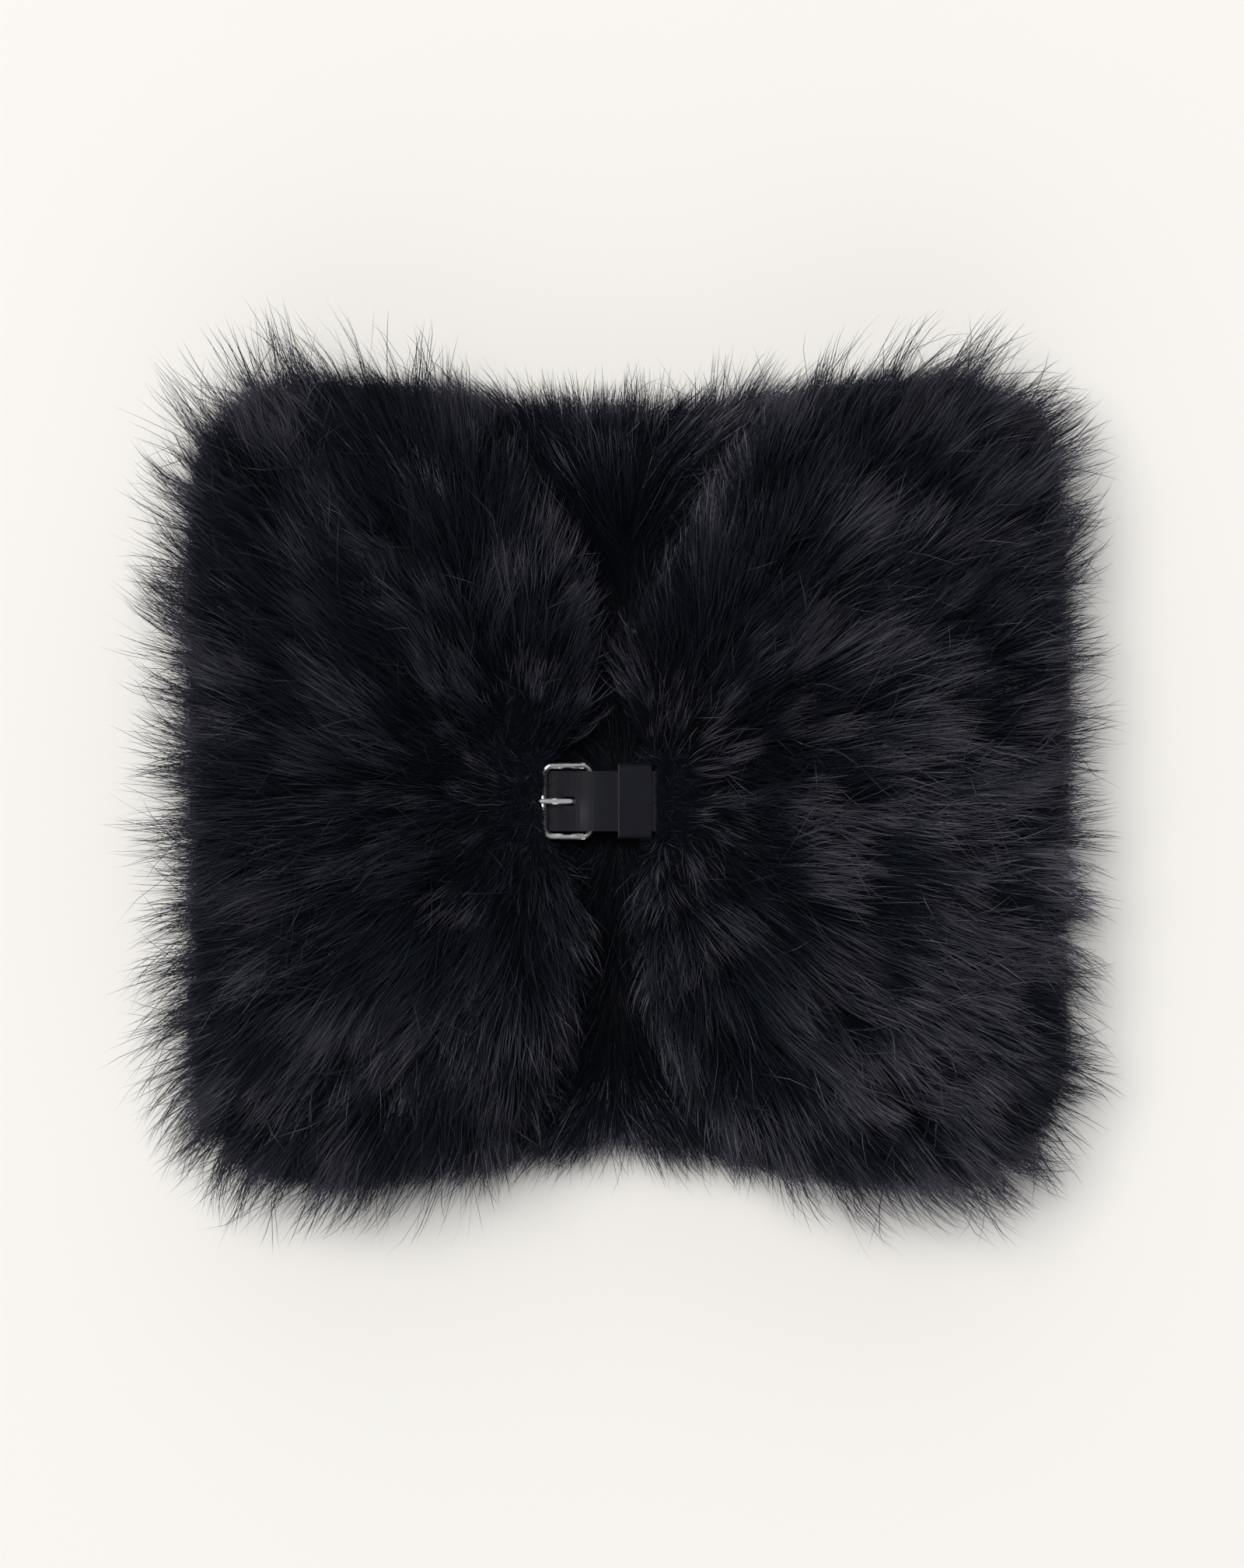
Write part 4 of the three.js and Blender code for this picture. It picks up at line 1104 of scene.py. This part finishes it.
def dress():
    """Builds every piece of fur."""
    fur = {
        "pile": fur_material("fur_pile", SHADED_HAIR_ROOT, HAIR_MIDDLE, GUARD_TIP_HIGHLIGHT, 0.30),
        "soft": fur_material("fur_soft", SHADED_HAIR_ROOT, HAIR_MIDDLE, UNDER_TIP, 0.07),
        # Painted shade: a darker material for the hairs deep between the fronts
        "deep": fur_material("fur_depth_shade", SHADED_HAIR_ROOT, DEPTH_SHADE_MIDDLE, DEPTH_SHADE_TIP, 0.07),
        "pelt": pelt_material(),
    }
    for side, cut in FRONTS.items():
        dress_front(side, cut, fur)
    dress_facing(fur)
    dress_back(fur)


def short_hairs(pile, root, nap, normal, length, rise, rest, bend, width, guards, light):
    """Adds single short hairs, from the ranges of their length, rise, rest and width."""
    rng = pile.rng
    count = len(root)
    length, rise, rest = (rng.uniform(*span, count) for span in (length, rise, rest))
    places = {"root": root, "normal": normal}
    lines = centre_lines(places, nap, length, rise, rest, rng.normal(0, bend, count), RIBBON_AT)
    width = rng.uniform(*width, count) * STRAND_WIDEN
    guard = rng.random(count) < guards if guards else np.zeros(count, bool)
    shade = rng.uniform(0, 0.5, count) + np.where(guard, 0.5, 0.0)
    pile.add(lines, normal, width, rng.random(count), shade, np.where(guard, *light), guard)


def throat_tufts(pile, gather_x, toward):
    """Short dark hairs at the gathered end that close over the end of the leather; on the left they also lie
    over the frame's left bar, partly as hair and partly as a dark stand-in for the shade on it.
    """
    rng = pile.rng
    count = int(THROAT_HAIRS * STRAND_SHARE)
    side = rng.uniform(-0.5, 0.5, count)
    x = gather_x + toward * rng.uniform(-5, 6.8, count)
    root = np.stack([x, BUCKLE["y"] + side * (GATHER_WIDTH + 3), rng.uniform(36.4, 39, count)], axis=1)
    angle = rng.normal(0, 0.8, count) + np.where(rng.random(count) < 0.4, math.pi, 0.0)
    nap = unit(np.stack([np.cos(angle) * toward, np.sin(angle) + side * 1.2], axis=1))
    normal = unit(np.column_stack([np.full(count, toward * 0.3), side, np.full(count, 1.0)]))
    spans = ((4, 11), (0.3, 0.8), (-0.1, 0.4))
    short_hairs(pile, root, nap, normal, *spans, 0.5, (0.13, 0.24), 0.2, (0.7, 0.6))

    count = int(LEATHER_END_HAIRS * STRAND_SHARE)
    # Left: dark hairs over the frame's left bar, real hair and also a dark stand-in for its shade
    if toward > 0:
        across = rng.choice([-1, 1], count) * rng.uniform(1.9, 14.5, count)
        along, height = (-32, -28.6), (38.4, 39.2)
    else:
        across = rng.uniform(-12.5, 12.5, count)
        along, height = (12.6, 16.0), (40.2, 41.0)
    across = BUCKLE["y"] + across
    root = np.stack([rng.uniform(*along, count), across, rng.uniform(*height, count)], axis=1)
    angle = rng.normal(0, 0.6, count)
    nap = np.stack([np.cos(angle) * toward, np.sin(angle)], axis=1)
    normal = np.tile([0.0, 0.0, 1.0], (count, 1))
    spans = ((3.5, 6.5), (0.2, 0.6), (-0.25, 0.1))
    short_hairs(pile, root, nap, normal, *spans, 0.4, (0.13, 0.22), 0, (0.4, 0.4))


def over_buckle(lines):
    """Which hairs have a point over the buckle or the strap."""
    x, y = lines[..., 0], lines[..., 1]

    def within(zone, left):
        _, right, low_side, high_side = zone
        return (x > left) & (x < right) & (y > low_side) & (y < high_side)

    by_prong = from_strap(y) < PRONG_HALF
    frame_part = within(FRAME_ZONE, np.where(by_prong, PRONG_LEFT, FRAME_ZONE[0]))
    return (frame_part | within(STRAP_ZONE, STRAP_ZONE[0])).any(axis=1)


def clear_of_buckle(lines, rng):
    """Shortens the hairs that would cross the buckle and the strap, and drops those that start there."""
    strays = rng.random(len(lines)) < 0.008
    for _ in range(3):
        short = over_buckle(lines) & ~strays
        lines[short] = lines[short, :1] + (lines[short] - lines[short, :1]) * 0.55
    return ~over_buckle(lines) | strays


def facing_weight(sheet):
    """Where the facing can be seen: between the fronts, and along the hems."""
    points = sheet.points
    out = from_strap(points[..., 1])
    half = np.maximum(7.0, (out - 30.0) * 0.62)
    open_part = smooth((half + 8 - np.abs(points[..., 0] + 2)) / 6)
    columns, rows = points.shape[:2]
    hem = smooth((np.arange(rows) / rows - 0.72) / 0.1)[None] * np.ones((columns, 1)) * 1.4
    at_side = np.abs(points[..., 0]) > 104
    return (open_part + hem) * np.where(at_side, 0.15, 1.0) + 1e-4


def back_mat():
    """The back's outer layer: backing and pressed pile as one flat mat that rests on the surface."""
    profile = [
        (150, MAT_TOP), (60, MAT_TOP), (20, 11.1), (12, 10.8), (8, 9.4), (6, 6.4), (7, 3.0), (10, 0.9),
        (14, 0.25), (40, MAT_LOW), (150, MAT_LOW),
    ]
    points = rows_of_back(profile)
    columns, count = points.shape[:2]
    faces = grid_faces(columns, count, True)
    flat = points.reshape(-1, 3)
    middle = [np.append(MIDDLE, MAT_TOP), np.append(MIDDLE, MAT_LOW)]
    centre = len(flat)
    i = np.arange(columns)
    j = (i + 1) % columns
    top = np.stack([np.full(columns, centre), j * count, i * count], axis=1)
    bottom = np.stack([np.full(columns, centre + 1), i * count + count - 1, j * count + count - 1], axis=1)
    made = new_mesh("back_outer_pelt", np.concatenate([flat, middle]), [faces, top, bottom])
    fix_normals(made)
    return made


def fix_normals(thing):
    """Turns all faces outwards."""
    work = bmesh.new()
    work.from_mesh(thing.data)
    bmesh.ops.recalc_face_normals(work, faces=work.faces)
    work.to_mesh(thing.data)
    work.free()


def hardware():
    """Better finishes for the buckle and the leather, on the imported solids."""
    leather = leather_material("strap_leather", LEATHER_TONE, 0.12, (POLISHED_SPOT, POLISHED_REACH))
    # The keeper gets a painted highlight line along its left edge
    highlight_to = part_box("keeper")[0][0] / MM + EDGE_HIGHLIGHT_WIDTH
    loop = leather_material("keeper_leather", LEATHER_TONE, 0.04, edge_highlight=highlight_to)
    metal = metal_material()
    finishes = {"strap": leather, "buckle_tab": leather, "keeper": loop}
    finishes.update({"buckle_frame": metal, "prong": metal})
    for name, material in finishes.items():
        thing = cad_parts[name]
        thing.data.materials.clear()
        thing.data.materials.append(material)


def area_light(name, at, aim, size, watts, colour):
    """A soft square light aimed at a point."""
    data = bpy.data.lights.new(name, "AREA")
    data.shape = "SQUARE"
    data.size = size
    data.energy = watts
    data.color = colour
    made = bpy.data.objects.new(name, data)
    made.location = at
    made.rotation_euler = (Vector(aim) - Vector(at)).to_track_quat("-Z", "Y").to_euler()
    bpy.context.scene.collection.objects.link(made)
    return made


def stage():
    """Floor, lights, sky and the camera straight above, framed as in the photograph."""
    half = 6.0
    mesh = bpy.data.meshes.new("floor")
    corners = [(-half, -half, 0), (half, -half, 0), (half, half, 0), (-half, half, 0)]
    mesh.from_pydata(corners, [], [(0, 1, 2, 3)])
    floor = bpy.data.objects.new("floor", mesh)
    mesh.materials.append(floor_material())
    bpy.context.scene.collection.objects.link(floor)
    area_light("key", (-3.5, 2.0, 10.0), (0, 0, 0), 5.0, 672, (1.0, 0.995, 0.985))
    area_light("top_fill", (0.2, 1.8, 10.4), (0, 0, 0), 2.6, 362, (1.0, 1.0, 0.99))
    world = bpy.data.worlds.new("sky")
    bpy.context.scene.world = world
    world.use_nodes = True
    tree = world.node_tree
    sky_way = tree.nodes.new("ShaderNodeTexCoord").outputs["Generated"]
    upwards = node(tree, "ShaderNodeSeparateXYZ", Vector=sky_way)
    glow = ((0.0, 0.20), (0.45, 0.32), (0.82, 0.24), (0.95, 0.10), (1.0, 0.08))
    dome = [(height, (0.95 * level, 0.97 * level, 1.06 * level)) for height, level in glow]
    sky = tree.nodes["Background"]
    tree.links.new(ramp(tree, upwards.outputs[2], dome), sky.inputs["Color"])
    endways = maths(tree, "MULTIPLY", upwards.outputs[1], upwards.outputs[1])
    tree.links.new(maths(tree, "MULTIPLY_ADD", endways, 3.2, 0.35), sky.inputs["Strength"])
    view = bpy.context.scene.view_settings
    view.view_transform = "Standard"
    view.look = "None"

    frame_height = PHOTO_HEIGHT * MM_PER_PIXEL * MM
    distance, plane = 2.0, 0.03
    data = bpy.data.cameras.new("camera")
    data.sensor_fit = "AUTO"
    data.sensor_width = 36.0
    data.lens = data.sensor_width / 2 / ((frame_height / 2) / distance)
    camera = bpy.data.objects.new("camera", data)
    photo_middle = (np.array(PHOTO_MIDDLE) + SHIFT) * MM
    camera.location = (photo_middle[0], photo_middle[1], plane + distance)
    bpy.context.scene.collection.objects.link(camera)
    bpy.context.scene.camera = camera


stage()
dress()
hardware()
